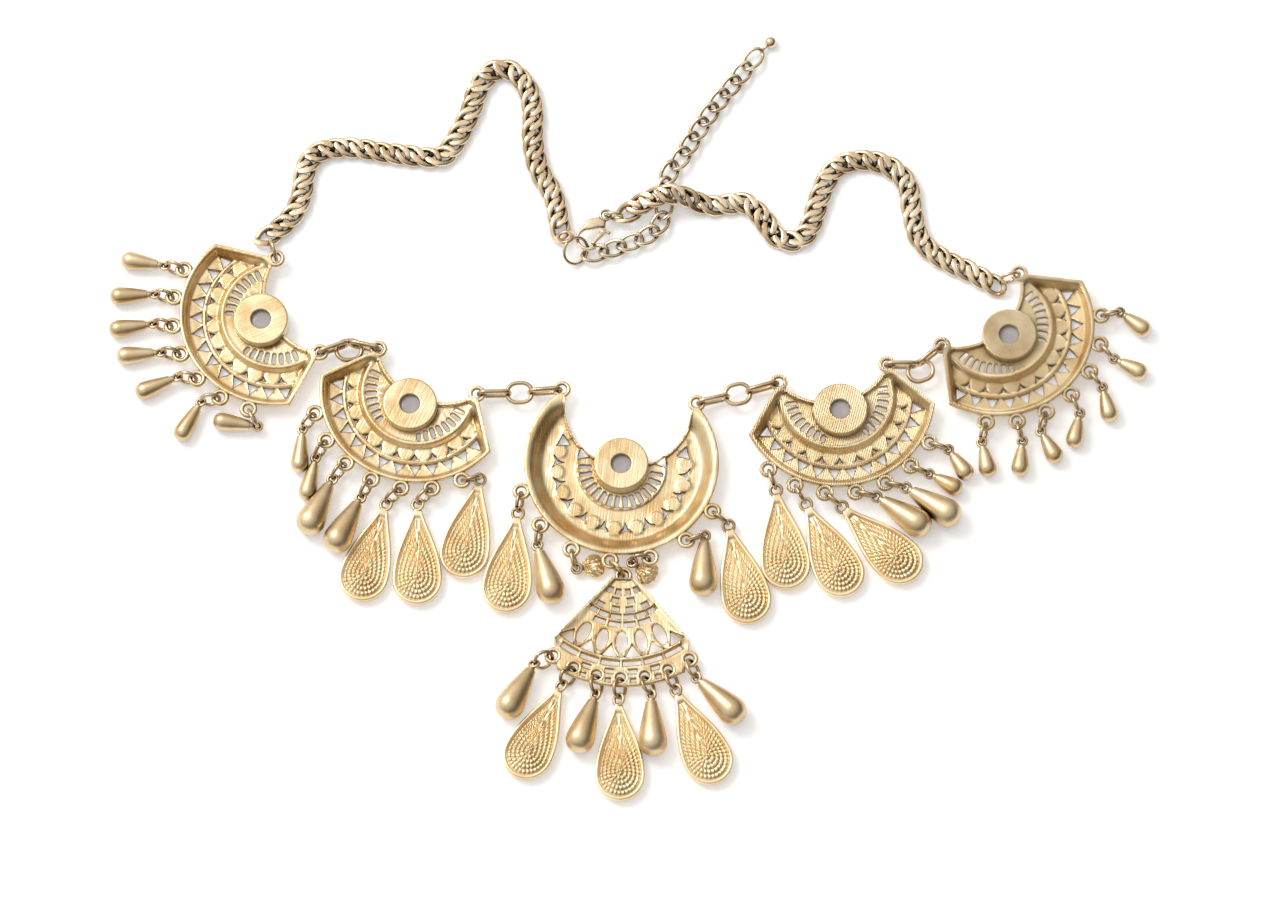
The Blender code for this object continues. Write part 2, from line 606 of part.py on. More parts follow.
def stitch(made, first, second, axis):
    """Closes the space between two loops of corners that run round one axis."""
    loops = []
    for loop in (first, second):
        middle = sum((corner.co for corner in loop), Vector()) / len(loop)
        turn = sum(((p.co - middle).cross(q.co - middle)).dot(axis) for p, q in zip(loop, loop[1:] + loop[:1]))
        loops.append(loop if turn > 0 else loop[::-1])
    near, far = loops
    offset = min(range(len(far)), key=lambda n: (far[n].co - near[0].co).length)
    far = far[offset:] + far[:offset]
    i = 0
    j = 0
    while i < len(near) or j < len(far):
        here = near[i % len(near)]
        there = far[j % len(far)]
        if j == len(far) or (i < len(near) and (i + 0.5) / len(near) <= (j + 0.5) / len(far)):
            i += 1
            made.faces.new((here, near[i % len(near)], there))
        else:
            j += 1
            made.faces.new((here, far[j % len(far)], there))


def loft(made, sections):
    """Closed run of faces through sections of equal count, capped at its far end."""
    for near, far in zip(sections, sections[1:]):
        for i in range(len(near)):
            j = (i + 1) % len(near)
            made.faces.new((near[i], near[j], far[j], far[i]))
    made.faces.new(sections[-1])


def round_sections(made, eye, blunt, radius):
    """Sections of a plain teardrop between its neck and its blunt end."""
    axis = (blunt - eye).normalized()
    reach = (blunt - eye).length
    side = axis.cross(Vector((0, 0, 1))).normalized()
    lift = side.cross(axis)
    rows = ((NECK_START, NECK_RADIUS), (reach - 0.2 * radius, radius), (reach + 0.85 * radius, 0.55 * radius))
    sections = []
    for run, width in rows:
        corners = circle((0, 0), width, DROP_SIDES)
        sections.append([made.verts.new(eye + axis * run + side * x - lift * y) for x, y in corners])
    return sections, axis


def flat_rows(kind, reach, end, half_width, sections):
    """Rows of a flat drop: (distance from the eye, half width, share of its thickness)."""
    rows = [(FLAT_START[kind], FLAT_NECK, FLAT_NECK_SHARE)]
    return rows + [(reach * run + end * past, half_width * width, share) for run, past, width, share in sections]


def flat_sections(made, eye, heading, rows, rim, dome):
    """Sections of a flat drop with a raised rim round a domed middle, lying on the surface."""
    axis = heading_vector(heading)
    side = Vector((-axis.y, axis.x, 0))
    sections = []
    for run, width, share in rows:
        middle = rim / 2
        shape = ((0.88, 0), (1.0, rim), (0.82, rim - 0.4), (0, dome), (-0.82, rim - 0.4), (-1.0, rim), (-0.88, 0))
        section = []
        for across, height in shape:
            level = middle + (height - middle) * share
            base = Vector((eye.x, eye.y, 0)) + axis * run
            section.append(made.verts.new(base + side * across * width + Vector((0, 0, level))))
        sections.append(section)
    return sections, axis


def drop(name, loop, loop_height, ring_heading, heading, kind, lean, material):
    """Jump ring through a loop, with the drop that it carries."""
    out = heading_vector(ring_heading)
    start = Vector((*loop, loop_height)) + out * RING_SEAT
    fall = (EYE_HEIGHT[kind] - loop_height) / (2 * RING_RADIUS)
    along = (out + Vector((0, 0, fall))).normalized()
    level = along.cross(Vector((0, 0, 1))).normalized()
    up = level.cross(along)
    leaning = math.radians(lean)
    up = up * math.cos(leaning) + level * math.sin(leaning)
    centre = start + along * RING_RADIUS
    eye = start + along * 2 * RING_RADIUS
    made = bmesh.new()
    sections, normal = wire_ring(made, centre, along, up, RING_RADIUS, RING_RADIUS, RING_WIRE)
    go = heading_vector(heading)
    if kind in PLAIN_KINDS:
        radius = PLAIN_RADIUS[kind]
        blunt = Vector((eye.x, eye.y, 0)) + go * PLAIN_REACH[kind] + Vector((0, 0, radius))
        body, axis = round_sections(made, eye, blunt, radius)
    elif kind == "grain":
        rows = flat_rows(kind, GRAIN_REACH, GRAIN_END, GRAIN_HALF_WIDTH, GRAIN_SECTIONS)
        body, axis = flat_sections(made, eye, heading, rows, GRAIN_RIM, GRAIN_DOME)
    else:
        rows = flat_rows(kind, SHELL_REACH, SHELL_END, SHELL_HALF_WIDTH, SHELL_SECTIONS)
        body, axis = flat_sections(made, eye, heading, rows, SHELL_RIM, SHELL_DOME)
    loft(made, body)
    made.faces.ensure_lookup_table()
    last = sections[-1]
    first = sections[0]
    best = max(range(WIRE_SIDES), key=lambda j: (first[j].co + first[(j + 1) % WIRE_SIDES].co + last[j].co
                                                + last[(j + 1) % WIRE_SIDES].co - 4 * eye).dot(axis))
    window = [last[best], first[best], first[(best + 1) % WIRE_SIDES], last[(best + 1) % WIRE_SIDES]]
    gone = [face for face in window[0].link_faces if set(face.verts) == set(window)]
    bmesh.ops.delete(made, geom=gone, context="FACES_ONLY")
    stitch(made, window, body[0], axis)
    bmesh.ops.recalc_face_normals(made, faces=made.faces)
    return finish_mesh(name, made, material)


def ring_object(name, centre, along, up, half_length, half_width, wire, material):
    """A separate ring of wire, closed."""
    made = bmesh.new()
    wire_ring(made, centre, along, up, half_length, half_width, wire)
    bmesh.ops.recalc_face_normals(made, faces=made.faces)
    return finish_mesh(name, made, material)


def run_span(sag):
    """Distance between the two ears that a connector joins."""
    if sag:
        return BUNCHED_SPAN
    return 2 * (OUTER_LINK + TAUT_SEAT - INTERLOCK) + MIDDLE_LINK


def link_run(name, first_ear, second_ear, ear_height, sag, material):
    """Three links between two ears, taut or sagging to one side, fused where they hang in each other."""
    ends = [Vector((*first_ear, ear_height)), Vector((*second_ear, ear_height))]
    ahead = (ends[1] - ends[0]).normalized()
    across = Vector((-ahead.y, ahead.x, 0))
    reach = OUTER_LINK + (LOOSE_SEAT if sag else TAUT_SEAT)
    fall = ear_height - MIDDLE_LINK_HEIGHT
    run = (BUNCHED_SPAN - BUNCHED_GAP) / 2 if sag else math.sqrt(reach ** 2 - fall ** 2)
    aside = sag * math.sqrt(max(0, reach ** 2 - fall ** 2 - run ** 2))
    hooks = [end + way * run + across * aside - Vector((0, 0, fall)) for end, way in zip(ends, (ahead, -ahead))]
    middle = (hooks[0] + hooks[1]) / 2
    if sag:
        middle -= across * (MIDDLE_LINK_WIDTH / 2 - INTERLOCK)
    rings = []
    for index, (end, hook) in enumerate(zip(ends, hooks)):
        along = (hook - end).normalized()
        level = along.cross(Vector((0, 0, 1))).normalized()
        rings.append(ring_object(f"{name}_{index}", hook - along * OUTER_LINK / 2, along, level.cross(along),
                                 OUTER_LINK / 2, OUTER_LINK_WIDTH / 2, LINK_WIRE, material))
    rings.append(ring_object(name, middle, ahead, across, MIDDLE_LINK / 2, MIDDLE_LINK_WIDTH / 2,
                             LINK_WIRE, material))
    return unite(rings[-1], rings[:-1])


def smooth_route(points, step):
    """Points at even steps along a smooth curve through a route."""
    knots = [Vector(point) for point in points]
    padded = [2 * knots[0] - knots[1]] + knots + [2 * knots[-1] - knots[-2]]
    fine = []
    for a, b, c, d in zip(padded, padded[1:], padded[2:], padded[3:]):
        for k in range(20):
            t = k / 20
            fine.append(0.5 * (2 * b + (c - a) * t + (2 * a - 5 * b + 4 * c - d) * t * t
                               + (3 * b - a - 3 * c + d) * t ** 3))
    fine.append(knots[-1])
    length = sum((q - p).length for p, q in zip(fine, fine[1:]))
    count = max(2, round(length / step))
    even = [fine[0]]
    run = 0
    for p, q in zip(fine, fine[1:]):
        run += (q - p).length
        if run >= length * len(even) / count and len(even) < count:
            even.append(q)
    return even + [fine[-1]]


def tube(name, points, width, material):
    """Round tube along a route, closed at both ends."""
    curve = bpy.data.curves.new(name, "CURVE")
    curve.dimensions = "3D"
    curve.bevel_depth = width / 2 * MM
    curve.bevel_resolution = 2
    curve.use_fill_caps = True
    route = smooth_route(points, CHAIN_STEP * width)
    spline = curve.splines.new("POLY")
    spline.points.add(len(route) - 1)
    for place, point in zip(spline.points, route):
        place.co = (*(point * MM), 1)
    guide = bpy.data.objects.new(name, curve)
    bpy.context.scene.collection.objects.link(guide)
    graph = bpy.context.evaluated_depsgraph_get()
    mesh = bpy.data.meshes.new_from_object(guide.evaluated_get(graph))
    bpy.data.objects.remove(guide)
    made = bmesh.new()
    made.from_mesh(mesh)
    bmesh.ops.remove_doubles(made, verts=made.verts, dist=MM * MM)
    bmesh.ops.recalc_face_normals(made, faces=made.faces)
    bmesh.ops.scale(made, vec=(1 / MM, 1 / MM, 1 / MM), verts=made.verts)
    return finish_mesh(name, made, material)


def end_ring(name, ear, ear_height, chain_end, material):
    """Ring between an ear and the end of a chain; gives the ring and where the chain takes over."""
    start = Vector((*ear, ear_height))
    along = (Vector(chain_end) - start).normalized()
    level = along.cross(Vector((0, 0, 1))).normalized()
    ring = ring_object(name, start + along * CHAIN_RING_RADIUS, along, level.cross(along),
                       CHAIN_RING_RADIUS, CHAIN_RING_RADIUS, CHAIN_RING_WIRE, material)
    return ring, start + along * 2 * CHAIN_RING_RADIUS


def clasp_outline():
    """Hook of the clasp in its own frame, the eye's centre at the origin and the hook along +X."""
    half = CLASP_WIDTH / 2
    bow = (CLASP_LENGTH - half, 0)
    inner = half - CLASP_WALL
    eye = CLASP_EYE_RADIUS
    outer_side = arc(bow, half, HOOK_TIP, -90, 8)
    neck = [(eye + 1.6, -half * 0.9), (eye * 0.8, -eye * 0.6), (eye * 0.8, eye * 0.6), (eye + 1.2, half * 0.55)]
    seat = [(eye + 2.0, half * 0.2), (eye + 2.6, -inner * 0.6), (eye + 3.4, -inner)]
    return outer_side + neck + seat + arc(bow, inner, -90, HOOK_TIP, 6)


def lever_outline():
    """Lever of the clasp in the same frame: a bar from its pivot to under the hook's tip, and a thumb tab."""
    x, y = LEVER_PIVOT
    bow = CLASP_LENGTH - CLASP_WIDTH / 2
    tip = polar((bow, 0), CLASP_WIDTH / 2 - CLASP_WALL - LEVER_CLEARANCE, HOOK_TIP)
    half = LEVER_WIDTH / 2
    bar = [(x, y + LEVER_ROOT), (tip[0], tip[1]), (tip[0] - 0.1, tip[1] - half * 1.4), (x, y - LEVER_ROOT)]
    tab = [(x - 0.6, y + LEVER_ROOT * 0.5), (x - 1.0, y + LEVER_TAB), (x - 0.1, y + LEVER_TAB + 0.1)]
    return bar + tab


def main():
    for thing in list(bpy.data.objects):
        bpy.data.objects.remove(thing)
    metal = finish("antique_gold", (0.72, 0.52, 0.27), 0.42, 1.0)
    chain_metal = finish("rose_gold", (0.60, 0.41, 0.25), 0.36, 1.0)
    gem = finish("grey_stone", (0.32, 0.29, 0.28), 0.3, 0.0)
    ear_height = RIM_TOP - CASTING_THICKNESS / 2
    build_castings(metal, gem, ear_height, chain_metal)
    centre_on_origin()


def finish(name, colour, roughness, metallic):
    """Plain surface of one colour."""
    material = bpy.data.materials.new(name)
    material.use_nodes = True
    shader = material.node_tree.nodes["Principled BSDF"]
    shader.inputs["Base Color"].default_value = (*colour, 1)
    shader.inputs["Roughness"].default_value = roughness
    shader.inputs["Metallic"].default_value = metallic
    return material


def build_castings(metal, gem, ear_height, chain_metal):
    """Crescent first, then each side outward from its ears, so that every ear follows the sizes."""
    place = placed(*CRESCENT_PLACE, CRESCENT_TURN)
    ears, loops, cup = crescent_plate("crescent_plate", place, metal)
    stone("stone_middle", place, cup, gem)
    hang_drops("crescent", loops, ear_height, RING_LEAN, metal)
    build_pendant(loops[LOOPS // 2], ear_height, metal)
    far_ears = []
    for hand, side, start, rows in (("right", 1, ears[1], RIGHT_ROWS), ("left", -1, ears[0], LEFT_ROWS)):
        for level, heading, sag, turn in rows:
            near = Vector(start) + heading_vector(heading).xy * run_span(sag)
            order = (start, near) if side > 0 else (near, start)
            link_run(f"link_run_{level}_{hand}", *order, ear_height, sag, metal)
            middle = near + heading_vector(turn).xy * side * FAN_EAR_SPAN / 2
            place = placed(*middle, turn)
            ears, loops, cup = fan_plate(f"fan_{level}_{hand}", place, metal)
            stone(f"stone_{level}_{hand}", place, cup, gem)
            hang_drops(f"{level}_{hand}", loops, ear_height, RING_LEAN, metal)
            start = ears[1] if side > 0 else ears[0]
        far_ears.append(start)
    build_chains(far_ears[0], far_ears[1], ear_height, chain_metal)


def build_pendant(loop, ear_height, metal):
    """Pendant plate with the ring that hangs it from the crescent."""
    out = heading_vector(PENDANT_RING_HEADING)
    lattice = PENDANT_LATTICE_TOP - CASTING_THICKNESS / 2
    start = Vector((*loop, ear_height)) + out * RING_SEAT
    end = start + out * 2 * RING_RADIUS
    end.z = lattice
    along = (end - start).normalized()
    level = along.cross(Vector((0, 0, 1))).normalized()
    ring = ring_object("pendant_ring", (start + end) / 2, along, level.cross(along),
                       RING_RADIUS, RING_RADIUS, RING_WIRE, metal)
    down = heading_vector(PENDANT_HEADING)
    apex = end.xy - down.xy * PENDANT_EYE
    place = placed(*apex, PENDANT_HEADING + 90)
    plate, loops = pendant_plate("pendant_plate", place, metal)
    unite(plate, [ring])
    hang_drops("pendant", loops, lattice, PENDANT_RING_LEAN, metal)


def hang_drops(group, loops, height, lean, metal):
    """One drop for each loop of a plate that carries one."""
    for index, (loop, row) in enumerate(zip(loops, DROPS[group])):
        if row:
            ring_heading, heading, kind = row
            drop(f"drop_{group}_{index + 1}", loop, height, ring_heading, heading, kind, lean, metal)


def build_chains(right_ear, left_ear, ear_height, metal):
    """Both chains, the closure ring with the extender, and the clasp."""
    clasp = Matrix.Translation((*CLASP_EYE, CLASP_FLOOR + CLASP_THICKNESS / 2))
    clasp = clasp @ Matrix.Rotation(math.radians(CLASP_HEADING), 4, "Z")
    ring, start = end_ring("left_ring", left_ear, ear_height, LEFT_ROUTE[0], metal)
    left = tube("chain_left", [tuple(start)] + LEFT_ROUTE, CHAIN_WIDTH, metal)
    hook = clasp @ Vector((CLASP_LENGTH - CLASP_WIDTH / 2 + CLOSURE_SEAT[0], CLOSURE_SEAT[1], 0))
    away = heading_vector(CLASP_HEADING + CLOSURE_TURN)
    centre = hook + away * CLOSURE_RADIUS
    across = Vector((-away.y, away.x, 0))
    lean = math.radians(CLOSURE_LEAN)
    up = across * math.cos(lean) + Vector((0, 0, 1)) * math.sin(lean)
    closure = ring_object("closure", centre, away, up, CLOSURE_RADIUS, CLOSURE_RADIUS, CLOSURE_WIRE, metal)
    last = Vector(LEFT_ROUTE[-1])
    high = centre - up * CLOSURE_RADIUS
    along = (high - last).normalized()
    link = ring_object("closure_link", (last + high) / 2, along, along.cross(Vector((0, 0, 1))).normalized(),
                       (high - last).length / 2, CLOSURE_LINK_WIDTH / 2, LINK_WIRE, metal)
    extender = tube("extender", EXTENDER_ROUTE, EXTENDER_WIDTH, metal)
    made = bmesh.new()
    bmesh.ops.create_uvsphere(made, u_segments=10, v_segments=6, radius=BALL_RADIUS,
                              matrix=Matrix.Translation(EXTENDER_ROUTE[-1]))
    ball = finish_mesh("ball", made, metal)
    unite(left, [ring, closure, link, extender, ball])
    ring, end = end_ring("right_ring", right_ear, ear_height, RIGHT_ROUTE[-1], metal)
    right = tube("chain_right", RIGHT_ROUTE + [tuple(end)], CHAIN_WIDTH, metal)
    eye = clasp @ Vector((0, 0, 0))
    along = (Vector(RIGHT_ROUTE[0]) - eye).normalized()
    reach = (Vector(RIGHT_ROUTE[0]) - eye).length / 2
    eye_ring = ring_object("eye_ring", eye + along * reach, along, Vector((0, 0, 1)), reach, reach,
                           RING_WIRE, metal)
    unite(right, [ring, eye_ring])
    build_clasp(metal)


def build_clasp(metal):
    """Hook with its eye, and the lever that closes it, each in the middle of the other's thickness."""
    place = placed(*CLASP_EYE, CLASP_HEADING)
    middle = CLASP_FLOOR + CLASP_THICKNESS / 2

    def half(x, y):
        return ramp(x, CLASP_EYE_RADIUS * 0.8, CLASP_EYE_RADIUS + 1.2, CLASP_EYE_THICKNESS / 2, CLASP_THICKNESS / 2)

    body = sheet([clasp_outline(), circle((0, 0), CLASP_EYE_RADIUS, DROP_SIDES)],
                 [circle((0, 0), CLASP_EYE_HOLE, HOLE_SIDES)], [],
                 lambda x, y: middle + half(x, y), lambda x, y: middle - half(x, y), place)
    finish_mesh("clasp_body", body, metal)
    lever = sheet([lever_outline(), circle(LEVER_PIVOT, LEVER_ROOT, DROP_SIDES)], [], [],
                  lambda x, y: middle + LEVER_THICKNESS / 2, lambda x, y: middle - LEVER_THICKNESS / 2, place)
    finish_mesh("clasp_lever", lever, metal)


def centre_on_origin():
    """Moves every mesh so that the box round the necklace stands centred on the origin."""
    corners = [corner.co for thing in bpy.data.objects for corner in thing.data.vertices]
    low = [min(corner[axis] for corner in corners) for axis in range(3)]
    high = [max(corner[axis] for corner in corners) for axis in range(3)]
    shift = Matrix.Translation((-(low[0] + high[0]) / 2, -(low[1] + high[1]) / 2, -low[2]))
    for thing in bpy.data.objects:
        thing.data.transform(shift)


main()
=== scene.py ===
"""Looks of the bib necklace: cast plates with pierced relief, granulated and plain drops, linked chains.

Lengths are in millimetres and angles in degrees; MM turns lengths into the metres of the meshes.
Every piece stands for one solid of the frame and lies where that solid lies.
"""
import math
import random

import bpy
import numpy as np
from mathutils import Matrix, Vector
from mathutils.geometry import delaunay_2d_cdt

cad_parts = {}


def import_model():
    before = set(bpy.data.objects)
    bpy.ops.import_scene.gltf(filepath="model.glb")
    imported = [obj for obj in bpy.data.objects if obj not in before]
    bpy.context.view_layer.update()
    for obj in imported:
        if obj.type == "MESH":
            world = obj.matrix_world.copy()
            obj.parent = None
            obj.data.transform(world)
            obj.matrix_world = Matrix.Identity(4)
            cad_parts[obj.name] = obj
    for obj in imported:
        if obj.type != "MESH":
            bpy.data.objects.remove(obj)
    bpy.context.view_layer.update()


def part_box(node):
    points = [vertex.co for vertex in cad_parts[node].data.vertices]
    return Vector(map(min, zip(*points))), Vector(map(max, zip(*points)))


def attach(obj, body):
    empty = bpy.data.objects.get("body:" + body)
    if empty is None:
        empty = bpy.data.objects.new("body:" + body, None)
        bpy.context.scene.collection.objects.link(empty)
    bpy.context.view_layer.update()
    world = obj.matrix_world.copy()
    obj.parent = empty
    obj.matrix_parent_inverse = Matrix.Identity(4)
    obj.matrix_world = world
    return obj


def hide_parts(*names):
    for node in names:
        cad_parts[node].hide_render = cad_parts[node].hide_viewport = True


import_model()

MM = 0.001
UP = Vector((0, 0, 1))
ORIGIN = (0, 0)
SEED = 7

# Lengths below this count as nothing
CDT_EPSILON = 1e-5

# Corners round a wire, and points along a link
WIRE_SIDES = 10
LINK_SIDES = 12
LINK_COUNT = 40

# Castings, as in the solids
CASTING_THICKNESS = 1.3
RIM_TOP = 4.5
RIM_WIDTH = 0.8
TROUGH_TOP = 1.4
LOOP_RADIUS = 2.4
LOOP_HOLE = 1.15
LOOP_OFFSET = 1.9
LOOPS = 7
EAR_HEIGHT = RIM_TOP - CASTING_THICKNESS / 2
EAR_RAMP_TOP = RIM_TOP - 0.3
LOOP_TALL = CASTING_THICKNESS / (LOOP_RADIUS - LOOP_HOLE) * 0.95
UNDERSIDE_LEAST = 0.02

# Softened edges of the castings, and steps between the points that shape their relief
EDGE_INSET = 0.2
EDGE_DROP = 0.16
WIRE_INSET = 0.34
WIRE_DROP = 0.42
ROW_STEP = 0.36
DOT_STEP = 2.0
WIDE_DOT_STEP = 2.5

# Setting cups with their stones
CUP_RADIUS = 7.2
CUP_TOP = 5.6
CUP_BACK = 0.9
CUP_WALL = 1.0
CUP_HOLE = 2.65
STONE_CLEARANCE = 0.3
STONE_LIFT = 0.4
STONE_GIRDLE = 2.0
CUP_SIDES = 72

# Fan plates
FAN_EAR_SPAN = 29.0
FAN_ARC_DROP = 5.9
FAN_RADIUS = 25.9
FAN_CORNER = 73.8
FAN_MOUTH_RADIUS = 17.5
FAN_CUP_DROP = 10.6
FAN_WALL_WIDTH = 2.5
FAN_TRIANGLES = 13
FAN_TRIANGLE_STEP = 12.0
FAN_TRIANGLE_RADIUS = 20.1
FAN_TRIANGLE_WIDTH = 3.1
FAN_TRIANGLE_HEIGHT = 2.9
FAN_LOOP_STEP = 16.9
FAN_DISC_RADIUS = 17.0
FAN_DISC_STEP = 15.5
FAN_DISC_SIZE = 2.25
FAN_GAPS = 10
FAN_GAP_RADIUS = 18.0
FAN_GAP_REACH = 0.95
FAN_GAP_WAIST = 0.32
FAN_SLOTS = 8
FAN_SLOT_FIRST = 27.0
FAN_SLOT_STEP = 8.9
FAN_SLOT_START = 10.7
FAN_SLOT_END = 13.8
FAN_SLOT_WIDTH = 1.1
CUP_CLEARANCE = 0.45
MOUTH_RIM_WIDTH = 0.9
MOUTH_RIM_TOP = 4.1
MOUTH_RIM_FOOT = MOUTH_RIM_WIDTH + 0.5
FAN_DOTS_START = 10.5
FAN_DOTS_ARC = (-205, 25)
FAN_MOUTH_DOTS = 1.6
FAN_MOUTH_ROW_STEP = 0.28

# Heights across a fan, from its arc's centre outward: the slotted band, the trough, the rib and the border
FAN_SECTION = ((14.0, 3.0), (14.35, 3.25), (14.7, 3.15), (16.2, 1.5), (18.9, 1.4), (19.2, 1.9), (19.6, 1.9),
               (20.05, 1.5), (22.9, 1.7), (25.9, 2.3))

# Crescent plate
CRESCENT_EAR_SPAN = 35.7
CRESCENT_ARC_DROP = 18.7
CRESCENT_RADIUS = 25.6
CRESCENT_MOUTH_DROP = 2.5
CRESCENT_MOUTH_RADIUS = 16.6
CRESCENT_CUP_DROP = 19.4
CRESCENT_WALL_WIDTH = 5.3
CRESCENT_LOOP_STEP = 22.2
SLOTS = 15
SLOT_STEP = 12.3
SLOT_START = 7.7
SLOT_LENGTH = 3.5
SLOT_WIDTH = 1.15
STAR_GAPS = 12
STAR_STEP = 20.0
STAR_RADIUS = 17.0
STAR_REACH = 2.0
STAR_WAIST = 0.5
STAR_DISC_SIZE = 2.25
HORN_GAP_REACH = 10.9
HORN_GAP_HEADING = 14.0
HORN_GAP_SIZE = 1.8
DISC_RISE = 0.32
DISC_FLAT = 0.8
CRESCENT_MOUTH_RIM = (0.45, 0.8)
CRESCENT_MOUTH_RISE = 0.8
CRESCENT_DOTS_ARC = (-220, 40)
CRESCENT_MOUTH_DOTS = 1.2
CRESCENT_MOUTH_ROW_STEP = 0.25
CRESCENT_RIDGE = ((7.2, 1.75), (11.1, 1.75), (11.4, 2.0), (11.75, 2.0), (12.0, 1.45), (13.5, 1.4))

# Pendant plate
PENDANT_HALF_ANGLE = 40.8
PENDANT_EYE = 2.7
PENDANT_NECK = 4.6
PENDANT_SHOULDER = 27.2
PENDANT_FOOT = 33.5
PENDANT_FOOT_ANGLE = 30.0
PENDANT_LOOP_REACH = 31.0
PENDANT_LOOP_STEP = 11.7
PENDANT_RIM_WIDTH = 1.3
PENDANT_RIM_TOP = 4.0
PENDANT_LATTICE_TOP = 3.4
PENDANT_RIB = 25.9
PENDANT_RIB_WIDTH = 0.9
PENDANT_RIB_RISE = 0.5
OVALS = 5
OVAL_REACH = 21.2
OVAL_STEP = 14.0
OVAL_LENGTH = 6.0
OVAL_WIDTH = 2.9
SPANDREL_TIP = 0.9
SPANDREL_BASE = 1.1
SPANDREL_HALF_ANGLE = 4.6
PENDANT_ROW_STEP = 0.55
PENDANT_MIDDLE = PENDANT_LATTICE_TOP - CASTING_THICKNESS / 2
PENDANT_LOOP_RISE = 0.15
PENDANT_EYE_TALL = 1.3

# Rows of gaps across the pendant: (reach from its apex, height, width, headings from its middle)
PENDANT_ROWS = ((7.5, 1.5, 1.3, (-27, -9, 9, 27)), (9.9, 1.3, 1.7, (-12, 12)),
                (12.2, 1.2, 1.9, (-28, -9, 9, 28)), (14.3, 1.3, 2.6, (-33, -20, -7, 7, 20, 33)),
                (16.4, 1.2, 3.0, (-21, -7, 7, 21)),
                (27.15, 1.2, 4.7, (-30, -18, -6, 6, 18, 30)), (29.4, 1.0, 2.3, (-18, -6, 6, 18)),
                (31.9, 0.9, 1.3, (-18, -6, 6, 18)))

# Jump rings and drops
RING_RADIUS = 2.5
RING_WIRE = 1.0
RING_SEAT = 0.25
RING_LEAN = 12.0
PENDANT_RING_LEAN = 35.0
RING_SLIT = 5.0
PLAIN_REACH = {"small": 7.6, "slim": 9.8, "medium": 13.6}
PLAIN_RADIUS = {"small": 2.4, "slim": 2.4, "medium": 3.8}
EYE_HEIGHT = {"small": 2.7, "slim": 2.7, "medium": 3.2, "grain": 2.3, "shell": 2.3}
NECK_START = 1.2
NECK_RADIUS = 0.75
COLLAR_RADIUS = 0.95
SLIM_SHARE = 0.14
BLUNTNESS = 0.78
DROP_EYE = {"small": 1.1, "slim": 1.1, "medium": 1.25, "grain": 1.5, "shell": 1.2}
DROP_EYE_WIRE = 0.95
EYE_SLACK = {"small": 0.04, "slim": 0.04, "medium": 0.04, "grain": 0.07, "shell": 0.06}
FLANK_POINT = 0.14
FLANK_POWER = 1.2
GRAIN_REACH = 21.3
GRAIN_HALF_WIDTH = 6.5
GRAIN_END = 6.9
GRAIN_RIM = 2.6
GRAIN_DOME = 3.2
GRAIN_START = 1.4
GRAIN_ROWS = 5
GRAIN_PITCH = 1.05
GRAIN_INNER = 0.835
GRAIN_LOW = 0.1
GRAIN_RISE = 0.36
GRAIN_ROUNDNESS = 0.8
GRAIN_COUNT = 260
GRAIN_CORE = 1.0
SHELL_REACH = 5.2
SHELL_HALF_WIDTH = 3.3
SHELL_END = 2.6
SHELL_RIM = 1.5
SHELL_DOME = 2.4
SHELL_RIBS = 11
SHELL_START = 1.0
SHELL_COUNT = 132
SHELL_CORE = 0.85

# Connectors of three links
LINK_WIRE = 1.2
OUTER_LINK = 8.2
OUTER_LINK_WIDTH = 3.5
TAUT_SEAT = 0.4
LOOSE_SEAT = -0.3
MIDDLE_LINK = 6.7
MIDDLE_LINK_WIDTH = 5.5
MIDDLE_LINK_HEIGHT = 3.0
INTERLOCK = 0.75
BUNCHED_SPAN = 15.5
BUNCHED_GAP = 0.6

# Chains, closure and clasp
CURB_PITCH = 4.1
CURB_WIRE = 1.6
CURB_WIDTH = 6.0
CURB_YAW = -12.0
CURB_TWIST = 56.0
CURB_FLAT = 1.2
TWIST_POWER = 1.3
CURB_REST = 1.7
CURB_ROLL = 7.0
CURB_SLACK = 1.01
CURB_ROUNDNESS = 0.85
CURB_STEPS = 24
CHAIN_SHARP = 34
ROUTE_STEPS = 20
CHAIN_HEIGHT = 2.4
EXTENDER_PITCH = 4.9
EXTENDER_WIRE = 1.1
EXTENDER_WIDTH = 5.3
EXTENDER_TWIST = 40.0
EXTENDER_REST = 0.5
EXTENDER_HEIGHT = 1.2
CHAIN_RING_RADIUS = 2.9
CHAIN_RING_WIRE = 0.9
CLOSURE_RADIUS = 3.6
CLOSURE_WIRE = 0.9
CLOSURE_LEAN = -45.0
CLOSURE_SEAT = (1.15, -0.3)
CLOSURE_TURN = -10.0
CLOSURE_LINK_WIDTH = 3.6
BALL_RADIUS = 1.6
BALL_NECK = 3.4
CLASP_LENGTH = 11.6
CLASP_WIDTH = 7.0
CLASP_THICKNESS = 1.6
CLASP_WALL = 1.0
CLASP_FLOOR = 2.3
CLASP_EYE_RADIUS = 1.8
CLASP_EYE_HOLE = 1.0
CLASP_EYE_TALL = 1.5
PILLOW_STEP = 0.3
PILLOW_EDGE = 0.25
HOOK_TIP = 68.0
LEVER_PIVOT = (4.2, 2.1)
LEVER_ROOT = 0.8
LEVER_WIDTH = 1.2
LEVER_TAB = 1.8
LEVER_THICKNESS = 1.0
LEVER_CLEARANCE = 0.3

# Where the plates lie: (level, heading of the connector, side to which it sags, turn of the fan)
CRESCENT_PLACE = (-1.6, 3.1)
CRESCENT_TURN = -6.3
RIGHT_ROWS = [("inner", 15.1, 0, 10.0), ("outer", 20.5, -1, 44.5)]
LEFT_ROWS = [("inner", -176.8, 0, -25.8), ("outer", -176.4, 1, -66.0)]
PENDANT_RING_HEADING = -47.0
PENDANT_HEADING = -91.5

